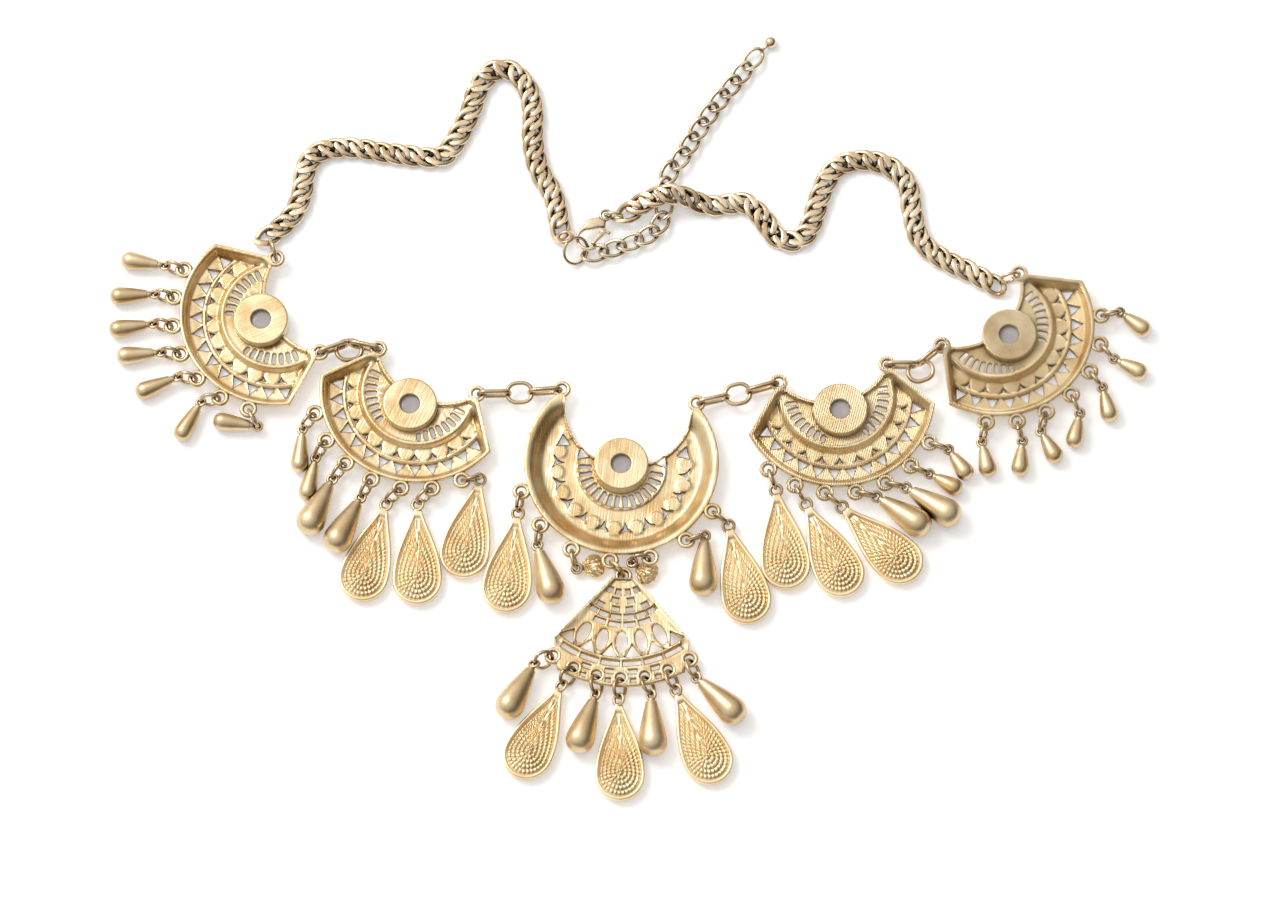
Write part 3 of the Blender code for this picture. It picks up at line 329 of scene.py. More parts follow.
# Drops of each plate, from its first loop to its last: (heading of the ring, heading of the drop, kind)
DROPS = {
    "outer_left": [(163, 170, "slim"), (166, -178, "slim"), (168, -172, "slim"), (170, -175, "slim"),
                   (170, -157, "slim"), (-172, -119, "slim"), (-60, 171, "slim")],
    "inner_left": [(-130, -94, "slim"), (-122, -103, "slim"), (-130, -115, "medium"), (-120, -117, "medium"),
                   (-138, -106, "grain"), (-138, -90, "grain"), (15, -101, "grain")],
    "crescent": [(-100, -98, "grain"), (-100, -74, "medium"), (-77, 13, "shell"), None,
                 (-172, -32, "shell"), (20, -92, "medium"), (-35, -77, "grain")],
    "pendant": [(-156, -119, "medium"), (-125, -115, "grain"), (-92, -108, "medium"), (-96, -89, "grain"),
                (-72, -88, "medium"), (-70, -66, "grain"), (-72, -45, "medium")],
    "inner_right": [(-68, -83, "grain"), (-58, -65, "grain"), (-36, -45, "grain"), (-10, -35, "medium"),
                    (-10, -34, "medium"), (-20, -29, "small"), (-15, -55, "small")],
    "outer_right": [(-104, -78, "small"), (-75, -95, "small"), (-108, -62, "small"), (-64, -101, "small"),
                    (-50, -76, "small"), (-45, -28, "small"), (16, -37, "small")],
}

# Routes of the chains between their end rings, as in the solids: (x, y), with a height where it differs
LEFT_ROUTE = [(*point, CHAIN_HEIGHT)[:3] for point in (
    (-97.3, 49.2), (-94.3, 51.6), (-90.5, 56.0), (-88.3, 62.5), (-87.5, 69.0), (-83.5, 73.4), (-76.0, 74.5),
    (-67.0, 73.2), (-58.0, 72.0), (-51.5, 72.0), (-47.5, 77.0), (-44.0, 84.5), (-41.3, 92.5), (-37.0, 96.8),
    (-32.5, 96.0), (-28.5, 91.0), (-27.3, 84.5), (-27.2, 76.0), (-25.5, 68.0), (-21.8, 61.0),
    (-20.3, 54.0, 2.6), (-19.6, 49.5, 2.8))]
EXTENDER_ROUTE = [(*point, EXTENDER_HEIGHT)[:3] for point in (
    (-13.2, 43.9), (-8.5, 44.6), (-4.0, 46.4), (1.0, 48.3), (5.5, 51.0), (7.4, 56.0), (7.8, 60.5),
    (9.0, 67.0), (12.2, 71.5), (14.8, 76.0), (20.3, 85.0), (26.7, 93.5), (32.7, 101.5), (36.0, 104.6, 1.5))]
RIGHT_ROUTE = [(*point, CHAIN_HEIGHT)[:3] for point in (
    (-3.6, 54.2, 3.0), (-1.0, 56.2, 3.6), (2.8, 58.2, 5.0), (6.5, 59.3, 6.2), (10.5, 59.8, 6.0),
    (14.5, 59.2, 4.2), (18.5, 58.0, 2.6), (23.5, 58.2), (28.0, 58.9), (33.0, 55.5), (37.0, 49.5),
    (42.5, 48.0), (46.5, 52.5), (49.0, 60.5), (52.5, 68.0), (59.0, 70.8), (66.5, 69.5), (72.0, 64.5),
    (73.4, 56.5), (75.5, 48.5), (81.0, 43.2), (89.0, 39.0), (95.0, 35.5))]
CLASP_EYE = (-7.9, 54.6)
CLASP_HEADING = -124.0

# Surface: how far it lies below the necklace, in millimetres, its half width in metres and its glow
FLOOR_DROP = 0.12
FLOOR_HALF = 1.5
FLOOR_GLOW = 0.32

# Light: place and size of the lamp in metres, its power in watts, and the way to the brightest sky
LAMP_PLACE = (-0.75, 0.55, 1.15)
LAMP_SIZE = 0.7
LAMP_POWER = 8.0
SKY_WAY = (-0.46, 0.30, 0.83)

# Scales of the textures: clouds of tone, grain, loose brush lines and even ones
CLOUD_SCALE = 130.0
FINE_SCALE = 2400.0
BRUSH_SCALE = (2300.0, 70.0, 70.0)
WAVE_SCALE = 698.0

# Camera: the photograph's height of view and framing, in metres
VIEW_ELEVATION = 70.0
VIEW_DISTANCE = 3.0
VIEW_TARGET = (0.00304, -0.01217, 0.0)
VIEW_LENS = 319.5


def polar(centre, radius, heading):
    """Point at a radius and heading from a centre, in the plane."""
    angle = math.radians(heading)
    return (centre[0] + radius * math.cos(angle), centre[1] + radius * math.sin(angle))


def arc(centre, radius, start, end, steps):
    """Points along an arc, both ends among them."""
    return [polar(centre, radius, start + (end - start) * i / steps) for i in range(steps + 1)]


def circle(centre, radius, sides, phase=0.0):
    """Corners of a regular polygon."""
    return arc(centre, radius, phase, phase + 360, sides)[:-1]


def heading_vector(heading):
    """Level unit vector along a heading."""
    return Vector((*polar(ORIGIN, 1, heading), 0))


def spread_headings(step, count):
    """Headings at even steps to both sides of straight down."""
    return [-90 + step * (i - (count - 1) / 2) for i in range(count)]


def fanned(centre, radius, step, count):
    """Points at such headings, at a radius from a centre."""
    return [polar(centre, radius, heading) for heading in spread_headings(step, count)]


def across_and_up(along):
    """Level direction square to a way, and the upward one square to both."""
    level = along.cross(UP).normalized()
    return level, level.cross(along)


def axis_frame(origin, axis):
    """Frame at a point, with its Z axis along a way."""
    side = axis.cross(UP).normalized()
    place = Matrix((side, axis.cross(side), axis)).transposed().to_4x4()
    place.translation = origin
    return place


def ease(value, low, high, low_result, high_result):
    """Soft step from one result to another, level outside its ends."""
    share = min(1, max(0, (value - low) / (high - low)))
    return low_result + (high_result - low_result) * share * share * (3 - 2 * share)


def section_height(value, rows):
    """Height at a place across a section given by its corners."""
    for (near, low), (far, high) in zip(rows, rows[1:]):
        if value < far:
            return ease(value, near, far, low, high)
    return rows[-1][1]


def turns_left(outline):
    """Whether an outline runs anticlockwise."""
    return sum(a[0] * b[1] - b[0] * a[1] for a, b in zip(outline, outline[1:] + outline[:1])) > 0


def grown(outline, distance):
    """Outline moved outward by a distance, closed into a line."""
    if not turns_left(outline):
        outline = outline[::-1]
    moved = []
    count = len(outline)
    for i, point in enumerate(outline):
        before = (Vector(point) - Vector(outline[i - 1])).normalized()
        after = (Vector(outline[(i + 1) % count]) - Vector(point)).normalized()
        way = before + after
        if way.length < CDT_EPSILON:
            continue
        way.normalize()
        stretch = 1 / max(0.5, way.dot(after))
        moved.append((point[0] + way.y * distance * stretch, point[1] - way.x * distance * stretch))
    return moved + moved[:1]


class Shape:
    """Corners in millimetres, with faces and the number of the finish of each face."""

    def __init__(self):
        self.corners = []
        self.faces = []
        self.finishes = []

    def add(self, corners, faces, finish=0):
        start = len(self.corners)
        self.corners += [tuple(corner) for corner in corners]
        self.faces += [tuple(start + i for i in face) for face in faces]
        self.finishes += [finish] * len(faces)


def new_object(name, data):
    """Object in the scene that carries a mesh, lamp or camera."""
    made = bpy.data.objects.new(name, data)
    bpy.context.scene.collection.objects.link(made)
    return made


def show(shape, node, materials, place=Matrix(), body="necklace", sharp=55):
    """Piece made of a shape, in the stead of a solid."""
    mesh = bpy.data.meshes.new("look_" + node)
    mesh.from_pydata([Vector(corner) * MM for corner in shape.corners], [], shape.faces)
    for material in materials:
        mesh.materials.append(material)
    mesh.polygons.foreach_set("material_index", shape.finishes)
    mesh.shade_smooth()
    mesh.set_sharp_from_angle(angle=math.radians(sharp))
    piece = new_object("look_" + node, mesh)
    home = place.copy()
    home.translation = (place.translation + SHIFT) * MM
    piece.matrix_world = home
    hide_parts(node)
    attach(piece, body)


def bands(count, rows, closed=False, flip=False):
    """Faces between rows of equal count, each row closed into a ring."""
    faces = []
    for row in range(rows if closed else rows - 1):
        following = (row + 1) % rows
        for i in range(count):
            j = (i + 1) % count
            face = (row * count + i, row * count + j, following * count + j, following * count + i)
            faces.append(face[::-1] if flip else face)
    return faces


def end_caps(count, rows):
    """Faces that close the first row and the last."""
    return [tuple(range(count))[::-1], tuple(range((rows - 1) * count, rows * count))]


def wire(shape, path, thickness, sides=WIRE_SIDES, slit=False, tall=1.0, finish=0, filed=None):
    """Wire round the middle of its path, closed or slit; filed flat beyond a height where that is given."""
    centre = sum(path, Vector()) / len(path)
    corners = []
    last = len(path) - 1
    for k, point in enumerate(path):
        before = path[k - 1] if k or not slit else point
        after = path[(k + 1) % len(path)] if k < last or not slit else point
        tangent = (after - before).normalized()
        outward = point - centre
        outward = (outward - tangent * outward.dot(tangent)).normalized()
        side = tangent.cross(outward)
        for x, y in circle(ORIGIN, thickness / 2, sides):
            corners.append(point + outward * x + side * y * tall)
    if filed:
        seat, lift, flat = filed
        heights = [(corner - seat).dot(lift) for corner in corners]
        corners = [c - lift * (h - min(flat, max(-flat, h))) for c, h in zip(corners, heights)]
    faces = bands(sides, len(path), not slit)
    if slit:
        faces += end_caps(sides, len(path))
    shape.add(corners, [face[::-1] for face in faces], finish)


def oval(centre, along, up, half_length, half_width, count=32, slit=0.0, start=180.0):
    """Middle line of a link: two round ends with straight sides between them."""
    path = []
    steps = count - 1 if slit else count
    for k in range(count):
        angle = math.radians(start + slit / 2 + (360 - slit) * k / steps)
        across = math.cos(angle)
        straight = (half_length - half_width) * (0 if abs(across) < CDT_EPSILON else math.copysign(1, across))
        path.append(centre + along * (straight + half_width * across) + up * half_width * math.sin(angle))
    return path


def flat_ring(middle, radius, count):
    """Middle line of a round ring that lies level."""
    return oval(middle, Vector((1, 0, 0)), Vector((0, 1, 0)), radius, radius, count)


def lathe(shape, rows, place, sides, closed=False, finish=0):
    """Round body about the Z axis of its place; rows of (radius, height), closed to a ring or capped."""
    corners = []
    for radius, height in rows:
        corners += [place @ Vector((x, y, height)) for x, y in circle(ORIGIN, radius, sides)]
    faces = bands(sides, len(rows), closed)
    if not closed:
        faces += end_caps(sides, len(rows))
    shape.add(corners, faces, finish)


def sheet(shape, solids, holes, dots, top, bottom, drop=EDGE_DROP, inset=EDGE_INSET):
    """Closed sheet over flat outlines, less the holes, with its edges eased over."""
    points = []
    faces = []
    edges = []
    for outline in solids + holes:
        faces.append(list(range(len(points), len(points) + len(outline))))
        points += outline if turns_left(outline) else outline[::-1]
    for line in [grown(outline, -inset) for outline in solids] + [grown(hole, inset) for hole in holes]:
        edges += [(i, i + 1) for i in range(len(points), len(points) + len(line) - 1)]
        points += line
    points += dots
    flat = [Vector(point) for point in points]
    corners, _, triangles, _, _, owners = delaunay_2d_cdt(flat, edges, faces, 0, CDT_EPSILON)
    kept = []
    for triangle, owner in zip(triangles, owners):
        if any(face < len(solids) for face in owner) and not any(face >= len(solids) for face in owner):
            a, b, c = (corners[i] for i in triangle)
            kept.append(tuple(triangle) if (b - a).cross(c - a) > 0 else tuple(triangle[::-1]))
    sides = {(t[i], t[(i + 1) % 3]) for t in kept for i in range(3)}
    rim = [(a, b) for a, b in sides if (b, a) not in sides]
    edge = {i for pair in rim for i in pair}
    used = sorted({i for triangle in kept for i in triangle})
    number = {index: k for k, index in enumerate(used)}
    upper = []
    lower = []
    for index in used:
        x, y = corners[index]
        high = top(x, y)
        low = bottom(x, y)
        fall = min(drop, (high - low) / 3) if index in edge else 0
        upper.append((x, y, high - fall))
        lower.append((x, y, low + fall))
    count = len(used)
    made = [tuple(number[i] for i in t) for t in kept]
    made += [tuple(count + number[i] for i in t[::-1]) for t in kept]
    made += [(count + number[a], count + number[b], number[b], number[a]) for a, b in sorted(rim)]
    shape.add(upper + lower, made)


def polar_dots(centre, near, far, start, end, step, pitch=ROW_STEP):
    """Rows of points on arcs about a centre, from which the relief takes its shape."""
    dots = []
    rows = round((far - near) / pitch)
    for row in range(rows + 1):
        dots += arc(centre, near + (far - near) * row / rows, start, end, round(abs(end - start) / step))
    return dots


def placed(x, y, turn):
    """Frame on the surface at a point, turned about Z."""
    return Matrix.Translation((x, y, 0)) @ Matrix.Rotation(math.radians(turn), 4, "Z")


def world(place, points):
    """Flat points carried into the model's frame."""
    return [(place @ Vector((*point, 0))).xy for point in points]


def radial_slot(centre, start, end, width, heading):
    """Slot with round ends that points away from a centre."""
    turn = Matrix.Rotation(math.radians(heading), 2)
    half = width / 2
    ends = arc((end - half, 0), half, -90, 90, 4) + arc((start + half, 0), half, 90, 270, 4)
    return [tuple(Vector(centre) + turn @ Vector(point)) for point in ends]


def star_gap(middle, reach, waist, heading):
    """Three-armed gap between neighbouring discs."""
    arms = circle(middle, reach, 3, heading)
    waists = circle(middle, waist, 3, heading + 60)
    return [point for pair in zip(arms, waists) for point in pair]


def disc_dots(discs, size):
    """Points round the edges of flat discs, so that they stay round."""
    return [point for disc in discs for share in (DISC_FLAT, 1.0) for point in circle(disc, size * share, 24)]


def disc_height(x, y, discs, size):
    """Height of the flat raised discs, or of the trough between them."""
    near = min(math.dist((x, y), disc) for disc in discs)
    return TROUGH_TOP + ease(near, size * DISC_FLAT, size, DISC_RISE, 0)


def end_dots(ear, corner):
    """Rows of points along both straight ends of a fan."""
    ahead = Vector(corner) - Vector(ear)
    inward = Vector((ahead.y, -ahead.x)).normalized()
    dots = []
    for row in range(1, 9):
        for k in range(1, 24):
            point = Vector(ear) + ahead * k / 24 + inward * ROW_STEP * row
            dots += [(point.x, point.y), (-point.x, point.y)]
    return dots


def add_loop(shape, x, y, height=EAR_HEIGHT, tall=LOOP_TALL):
    """Round wire loop or eye, level with its plate."""
    path = flat_ring(Vector((x, y, height)), (LOOP_RADIUS + LOOP_HOLE) / 2, 28)
    wire(shape, path, LOOP_RADIUS - LOOP_HOLE, tall=tall)


def add_cup(shape, cup):
    """Setting cup: a flat pierced back with crisp eased edges on a straight wall."""
    inner = CUP_RADIUS - CUP_WALL
    back = CUP_TOP - CUP_BACK
    hole = CUP_HOLE
    side = CUP_RADIUS
    top = CUP_TOP
    rows = ((hole, back), (hole, top - 0.22), (hole + 0.07, top - 0.07), (hole + 0.22, top),
            (hole + 0.36, top), (side - 0.62, top), (side - 0.4, top), (side - 0.15, top - 0.08),
            (side - 0.05, top - 0.3), (side - 0.05, top - 0.6), (side, TROUGH_TOP + 0.6), (side, 0.4),
            (side - 0.2, 0.05), (inner + 0.2, 0.0), (inner, 0.25), (inner, back))
    lathe(shape, rows[::-1], Matrix.Translation((*cup, 0)), CUP_SIDES, closed=True)


def cup_lip(mouth_radius):
    """Heading at which the edge of a plate's mouth runs under its cup."""
    return -90 + math.degrees(math.asin((CUP_RADIUS - CUP_WALL) / mouth_radius))


def ear_and_cup_holes(ears, cup):
    """Holes through both ears and under the cup."""
    return [circle(eye, LOOP_HOLE, 24) for eye in ears] + [circle(cup, CUP_RADIUS - CUP_WALL / 2, 48)]


def finish_plate(name, place, materials, outline, holes, dots, top, ears, loops, cup):
    """Pierced sheet with its loops and cup; gives the places of its ears and loops."""
    def bottom(x, y):
        return max(UNDERSIDE_LEAST, top(x, y) - CASTING_THICKNESS)

    shape = Shape()
    sheet(shape, [outline], holes, dots, top, bottom)
    for x, y in ears + loops:
        add_loop(shape, x, y)
    add_cup(shape, cup)
    show(shape, name, materials, place)
    return world(place, ears), world(place, loops), cup


def fan_end_distance(x, y, corner):
    """How far inside the straight end of a fan a point lies, taken on its own side."""
    ear = Vector((FAN_EAR_SPAN / 2, 0))
    along = (Vector(corner) - ear).normalized()
    inward = Vector((along.y, -along.x))
    return (Vector((abs(x), y)) - ear).dot(inward)


def fan_plate(name, place, materials):
    """Pierced fan with its relief and cup; gives the places of its ears and loops."""
    centre = (0, -FAN_ARC_DROP)
    cup = (0, -FAN_CUP_DROP)
    half_span = FAN_EAR_SPAN / 2
    ears = [(-half_span, 0), (half_span, 0)]
    corner = polar(centre, FAN_RADIUS, FAN_CORNER - 90)
    mouth = (0, math.sqrt(FAN_MOUTH_RADIUS ** 2 - half_span ** 2))
    lip = math.degrees(math.atan2(-mouth[1], half_span))
    under_cup = cup_lip(FAN_MOUTH_RADIUS)
    outline = [ears[1]] + arc(centre, FAN_RADIUS, FAN_CORNER - 90, -FAN_CORNER - 90, 90) + [ears[0]]
    outline += arc(mouth, FAN_MOUTH_RADIUS, -180 - lip, -180 - under_cup, 12)[1:]
    outline += arc(mouth, FAN_MOUTH_RADIUS, under_cup, lip, 12)[:-1]
    loops = fanned(centre, FAN_RADIUS + LOOP_OFFSET, FAN_LOOP_STEP, LOOPS)
    holes = ear_and_cup_holes(ears, cup)
    half = math.degrees(FAN_TRIANGLE_WIDTH / 2 / FAN_TRIANGLE_RADIUS)
    for heading in spread_headings(FAN_TRIANGLE_STEP, FAN_TRIANGLES):
        base = [polar(centre, FAN_TRIANGLE_RADIUS, heading + side * half) for side in (1, 0, -1)]
        holes.append(base + [polar(centre, FAN_TRIANGLE_RADIUS + FAN_TRIANGLE_HEIGHT, heading)])
    for heading in spread_headings(FAN_DISC_STEP, FAN_GAPS):
        middle = polar(centre, FAN_GAP_RADIUS, heading)
        holes.append(star_gap(middle, FAN_GAP_REACH, FAN_GAP_WAIST, heading + 60))
    drop_to_cup = FAN_CUP_DROP - FAN_ARC_DROP
    for i in range(FAN_SLOTS):
        offset = FAN_SLOT_FIRST + FAN_SLOT_STEP * i
        aside = drop_to_cup * math.sin(math.radians(offset))
        clear = math.sqrt((CUP_RADIUS + CUP_CLEARANCE) ** 2 - aside ** 2)
        start = max(FAN_SLOT_START, drop_to_cup * math.cos(math.radians(offset)) + clear)
        for side in (-1, 1):
            holes.append(radial_slot(centre, start, FAN_SLOT_END, FAN_SLOT_WIDTH, -90 + side * offset))
    discs = fanned(centre, FAN_DISC_RADIUS, FAN_DISC_STEP, FAN_GAPS + 1)
    dots = polar_dots(centre, FAN_DOTS_START, FAN_RADIUS - EDGE_INSET, *FAN_DOTS_ARC, DOT_STEP)
    dots += polar_dots(mouth, FAN_MOUTH_RADIUS + EDGE_INSET, FAN_MOUTH_RADIUS + FAN_MOUTH_DOTS,
                       -180 - lip, lip, DOT_STEP, FAN_MOUTH_ROW_STEP)
    dots += disc_dots(discs, FAN_DISC_SIZE) + end_dots(ears[1], corner)

    def top(x, y):
        out = math.dist((x, y), centre)
        inset = min(FAN_RADIUS - out, fan_end_distance(x, y, corner))
        floor = max(section_height(out, FAN_SECTION), disc_height(x, y, discs, FAN_DISC_SIZE))
        near_ear = min(math.dist((x, y), ear) for ear in ears)
        floor = max(floor, ease(near_ear, LOOP_RADIUS, 2 * LOOP_RADIUS, EAR_RAMP_TOP, 0))
        from_mouth = math.dist((x, y), mouth) - FAN_MOUTH_RADIUS
        floor = max(floor, ease(from_mouth, MOUTH_RIM_WIDTH, MOUTH_RIM_FOOT, MOUTH_RIM_TOP, 0))
        return ease(inset, RIM_WIDTH, FAN_WALL_WIDTH, RIM_TOP, floor)

    return finish_plate(name, place, materials, outline, holes, dots, top, ears, loops, cup)


def crescent_plate(name, place, materials):
    """Pierced crescent with its relief and cup; gives the places of its ears and loops."""
    centre = (0, -CRESCENT_ARC_DROP)
    cup = (0, -CRESCENT_CUP_DROP)
    mouth = (0, -CRESCENT_MOUTH_DROP)
    half_span = CRESCENT_EAR_SPAN / 2
    ears = [(-half_span, 0), (half_span, 0)]
    horn = math.degrees(math.atan2(CRESCENT_ARC_DROP, half_span))
    under_cup = cup_lip(CRESCENT_MOUTH_RADIUS)
    outline = arc(centre, CRESCENT_RADIUS, horn, -180 - horn, 120)
    outline += arc(mouth, CRESCENT_MOUTH_RADIUS, -180, -180 - under_cup, 30)
    outline += arc(mouth, CRESCENT_MOUTH_RADIUS, under_cup, 0, 30)
    loops = fanned(centre, CRESCENT_RADIUS + LOOP_OFFSET, CRESCENT_LOOP_STEP, LOOPS)
    holes = ear_and_cup_holes(ears, cup)
    for heading in spread_headings(SLOT_STEP, SLOTS):
        holes.append(radial_slot(cup, SLOT_START, SLOT_START + SLOT_LENGTH, SLOT_WIDTH, heading))
    for i, heading in enumerate(spread_headings(STAR_STEP, STAR_GAPS)):
        middle = polar(cup, STAR_RADIUS, heading)
        if 0 < i < STAR_GAPS - 1:
            holes.append(star_gap(middle, STAR_REACH, STAR_WAIST, heading + 180))
        else:
            holes.append(circle(middle, STAR_REACH, 3, heading + 180))
    for side in (-1, 1):
        heading = 90 - side * (90 - HORN_GAP_HEADING)
        holes.append(circle(polar(cup, HORN_GAP_REACH, heading), HORN_GAP_SIZE, 3, heading + 60))
    discs = fanned(cup, STAR_RADIUS, STAR_STEP, STAR_GAPS + 1)
    dots = polar_dots(centre, CRESCENT_RADIUS - CRESCENT_WALL_WIDTH, CRESCENT_RADIUS - EDGE_INSET,
                      -180 - horn, horn, DOT_STEP)
    dots += polar_dots(cup, CUP_RADIUS, STAR_RADIUS + STAR_DISC_SIZE, *CRESCENT_DOTS_ARC, WIDE_DOT_STEP)
    dots += polar_dots(mouth, CRESCENT_MOUTH_RADIUS + EDGE_INSET, CRESCENT_MOUTH_RADIUS + CRESCENT_MOUTH_DOTS,
                       -180, 0, DOT_STEP, CRESCENT_MOUTH_ROW_STEP)
    dots += disc_dots(discs, STAR_DISC_SIZE)

    def top(x, y):
        inset = CRESCENT_RADIUS - math.dist((x, y), centre)
        out = math.dist((x, y), cup)
        floor = max(section_height(out, CRESCENT_RIDGE), disc_height(x, y, discs, STAR_DISC_SIZE))
        near_ear = min(math.dist((x, y), ear) for ear in ears)
        floor = max(floor, ease(near_ear, LOOP_RADIUS, 3 * LOOP_RADIUS, EAR_RAMP_TOP, TROUGH_TOP))
        from_mouth = math.dist((x, y), mouth) - CRESCENT_MOUTH_RADIUS
        rim = min(RIM_TOP, floor + CRESCENT_MOUTH_RISE)
        floor = max(floor, ease(from_mouth, *CRESCENT_MOUTH_RIM, rim, 0))
        return ease(inset, RIM_WIDTH, CRESCENT_WALL_WIDTH, RIM_TOP, floor)

    return finish_plate(name, place, materials, outline, holes, dots, top, ears, loops, cup)


def band_gap(reach, height, heading, width):
    """Gap that lies along an arc about the pendant's virtual apex."""
    half = math.degrees(width / 2 / reach)
    low = arc(ORIGIN, reach - height / 2, heading - half, heading + half, 4)
    return low + arc(ORIGIN, reach + height / 2, heading + half, heading - half, 4)


def pendant_plate(name, place, ring_path, materials):
    """Pierced sector of round-edged lattice with its eye; gives the places of the holes along its foot."""
    left = -90 - PENDANT_HALF_ANGLE
    right = -90 + PENDANT_HALF_ANGLE
    foot = -90 + PENDANT_FOOT_ANGLE
    loops = fanned(ORIGIN, PENDANT_LOOP_REACH, PENDANT_LOOP_STEP, LOOPS)
    outline = [polar(ORIGIN, PENDANT_NECK, right), polar(ORIGIN, PENDANT_NECK, left)]
    outline += [polar(ORIGIN, PENDANT_SHOULDER, left)] + arc(ORIGIN, PENDANT_FOOT, -180 - foot, foot, 40)
    outline += [polar(ORIGIN, PENDANT_SHOULDER, right)]
    solids = [outline] + [circle(loops[i], LOOP_RADIUS, 24) for i in (0, LOOPS - 1)]
    holes = [circle(point, LOOP_HOLE, 24) for point in loops]
    for reach, height, width, offsets in PENDANT_ROWS:
        holes += [band_gap(reach, height, -90 + offset, width) for offset in offsets]
    for heading in spread_headings(OVAL_STEP, OVALS):
        turn = Matrix.Rotation(math.radians(heading), 2)
        middle = Vector(polar(ORIGIN, OVAL_REACH, heading))
        rounds = [Vector((x * OVAL_LENGTH / 2, y * OVAL_WIDTH / 2)) for x, y in circle(ORIGIN, 1, 28)]
        holes.append([tuple(middle + turn @ point) for point in rounds])
    far = OVAL_REACH + OVAL_LENGTH / 2 + SPANDREL_BASE
    for heading in spread_headings(OVAL_STEP, OVALS + 1):
        tip = polar(ORIGIN, OVAL_REACH + SPANDREL_TIP, heading)
        base = arc(ORIGIN, far, heading - SPANDREL_HALF_ANGLE, heading + SPANDREL_HALF_ANGLE, 6)
        holes.append([tip] + base)
    dots = polar_dots(ORIGIN, PENDANT_NECK, PENDANT_FOOT, left, right, WIDE_DOT_STEP, PENDANT_ROW_STEP)

    def rim_share(x, y):
        out = math.hypot(x, y)
        heading = math.degrees(math.atan2(y, x)) + 90
        side = (PENDANT_HALF_ANGLE - abs(heading)) * math.radians(1) * out
        return ease(side, PENDANT_RIM_WIDTH / 2, PENDANT_RIM_WIDTH, 1, 0) if out < PENDANT_SHOULDER + 1 else 0

    def top(x, y):
        out = math.hypot(x, y)
        rib = PENDANT_RIB_RISE * max(0, 1 - ((out - PENDANT_RIB) / PENDANT_RIB_WIDTH * 1.6) ** 2)
        return PENDANT_LATTICE_TOP + max(rib, rim_share(x, y) * (PENDANT_RIM_TOP - PENDANT_LATTICE_TOP))

    def bottom(x, y):
        return (PENDANT_LATTICE_TOP - CASTING_THICKNESS) * (1 - rim_share(x, y)) + UNDERSIDE_LEAST

    shape = Shape()
    sheet(shape, solids, holes, dots, top, bottom, WIRE_DROP, WIRE_INSET)
    for x, y in loops:
        add_loop(shape, x, y, PENDANT_MIDDLE + PENDANT_LOOP_RISE)
    add_loop(shape, 0, -PENDANT_EYE, PENDANT_MIDDLE, PENDANT_EYE_TALL)
    back = place.inverted()
    wire(shape, [back @ point for point in ring_path], RING_WIRE, slit=True)
    show(shape, name, materials, place)
    return world(place, loops)


def stone(name, place, cup, material):
    """Domed stone with a flat back and an eased girdle, seated in a cup from the front."""
    radius = CUP_RADIUS - CUP_WALL - STONE_CLEARANCE
    back = CUP_TOP - CUP_BACK - STONE_CLEARANCE
    rows = [(0.05, STONE_LIFT)]
    for i in range(1, 10):
        angle = math.radians(90 * i / 9)
        rows.append((radius * math.sin(angle), STONE_GIRDLE - (STONE_GIRDLE - STONE_LIFT) * math.cos(angle)))
    rows += [(radius, back - 0.25), (radius - 0.25, back), (0.05, back)]
    shape = Shape()
    lathe(shape, rows, Matrix.Translation((*cup, 0)), 48)
    show(shape, name, [material], place)


def plain_profile(reach, radius):
    """Rows of a plain teardrop from its neck to its blunt end."""
    rows = [(NECK_RADIUS * 0.7, NECK_START - 0.3), (NECK_RADIUS, NECK_START),
            (COLLAR_RADIUS, NECK_START + 0.35), (COLLAR_RADIUS, NECK_START + 1.0)]
    start = NECK_START + 1.1
    widest = reach - 0.1 * radius
    slim = COLLAR_RADIUS + SLIM_SHARE * radius
    for i in range(13):
        share = i / 12
        swell = 0.5 * share + 0.5 * math.sin(math.pi / 2 * share)
        rows.append((slim + (radius - slim) * swell, start + (widest - start) * share))
    for i in range(1, 9):
        angle = math.radians(88 * i / 8)
        rows.append((radius * math.cos(angle) ** BLUNTNESS, widest + radius * math.sin(angle)))
    return rows


def teardrop_outline(start, reach, half_width, end, count):
    """Points at even steps round a flat drop: straight flanks that swell into a round end."""
    flank = []
    for i in range(61):
        share = i / 60
        swell = math.sin(math.pi / 2 * share) ** FLANK_POWER
        width = half_width * (FLANK_POINT + (1 - FLANK_POINT) * swell)
        flank.append((start + (reach - start) * share, width))
    for i in range(1, 31):
        angle = math.radians(90 * i / 30)
        flank.append((reach + end * math.sin(angle), half_width * math.cos(angle)))
    whole = np.array(flank + [(x, -y) for x, y in flank[::-1][1:]])
    closed = np.vstack([whole, whole[:1]])
    runs = np.concatenate([[0], np.cumsum(np.hypot(*np.diff(closed, axis=0).T))])
    marks = np.linspace(0, runs[-1], count, endpoint=False)
    even = [np.interp(marks, runs, closed[:, axis]) for axis in (0, 1)]
    return np.column_stack(even), runs[-1]


def flat_drop(shape, eye, heading, outline, core, rows, finish):
    """Flat drop from rings shrunk about its core; rows of (share of the outline, heights round the ring)."""
    count = len(outline)
    axis = heading_vector(heading)
    side = Vector((-axis.y, axis.x, 0))
    base = np.array([eye.x, eye.y, 0])
    corners = []
    for share, heights in rows:
        flat = core + (outline - core) * share
        ring = base + np.outer(flat[:, 0], axis) + np.outer(flat[:, 1], side)
        ring[:, 2] = heights
        corners += ring.tolist()
    faces = bands(count, len(rows), flip=True)
    faces += [cap[::-1] for cap in end_caps(count, len(rows))]
    shape.add(corners, faces, finish)


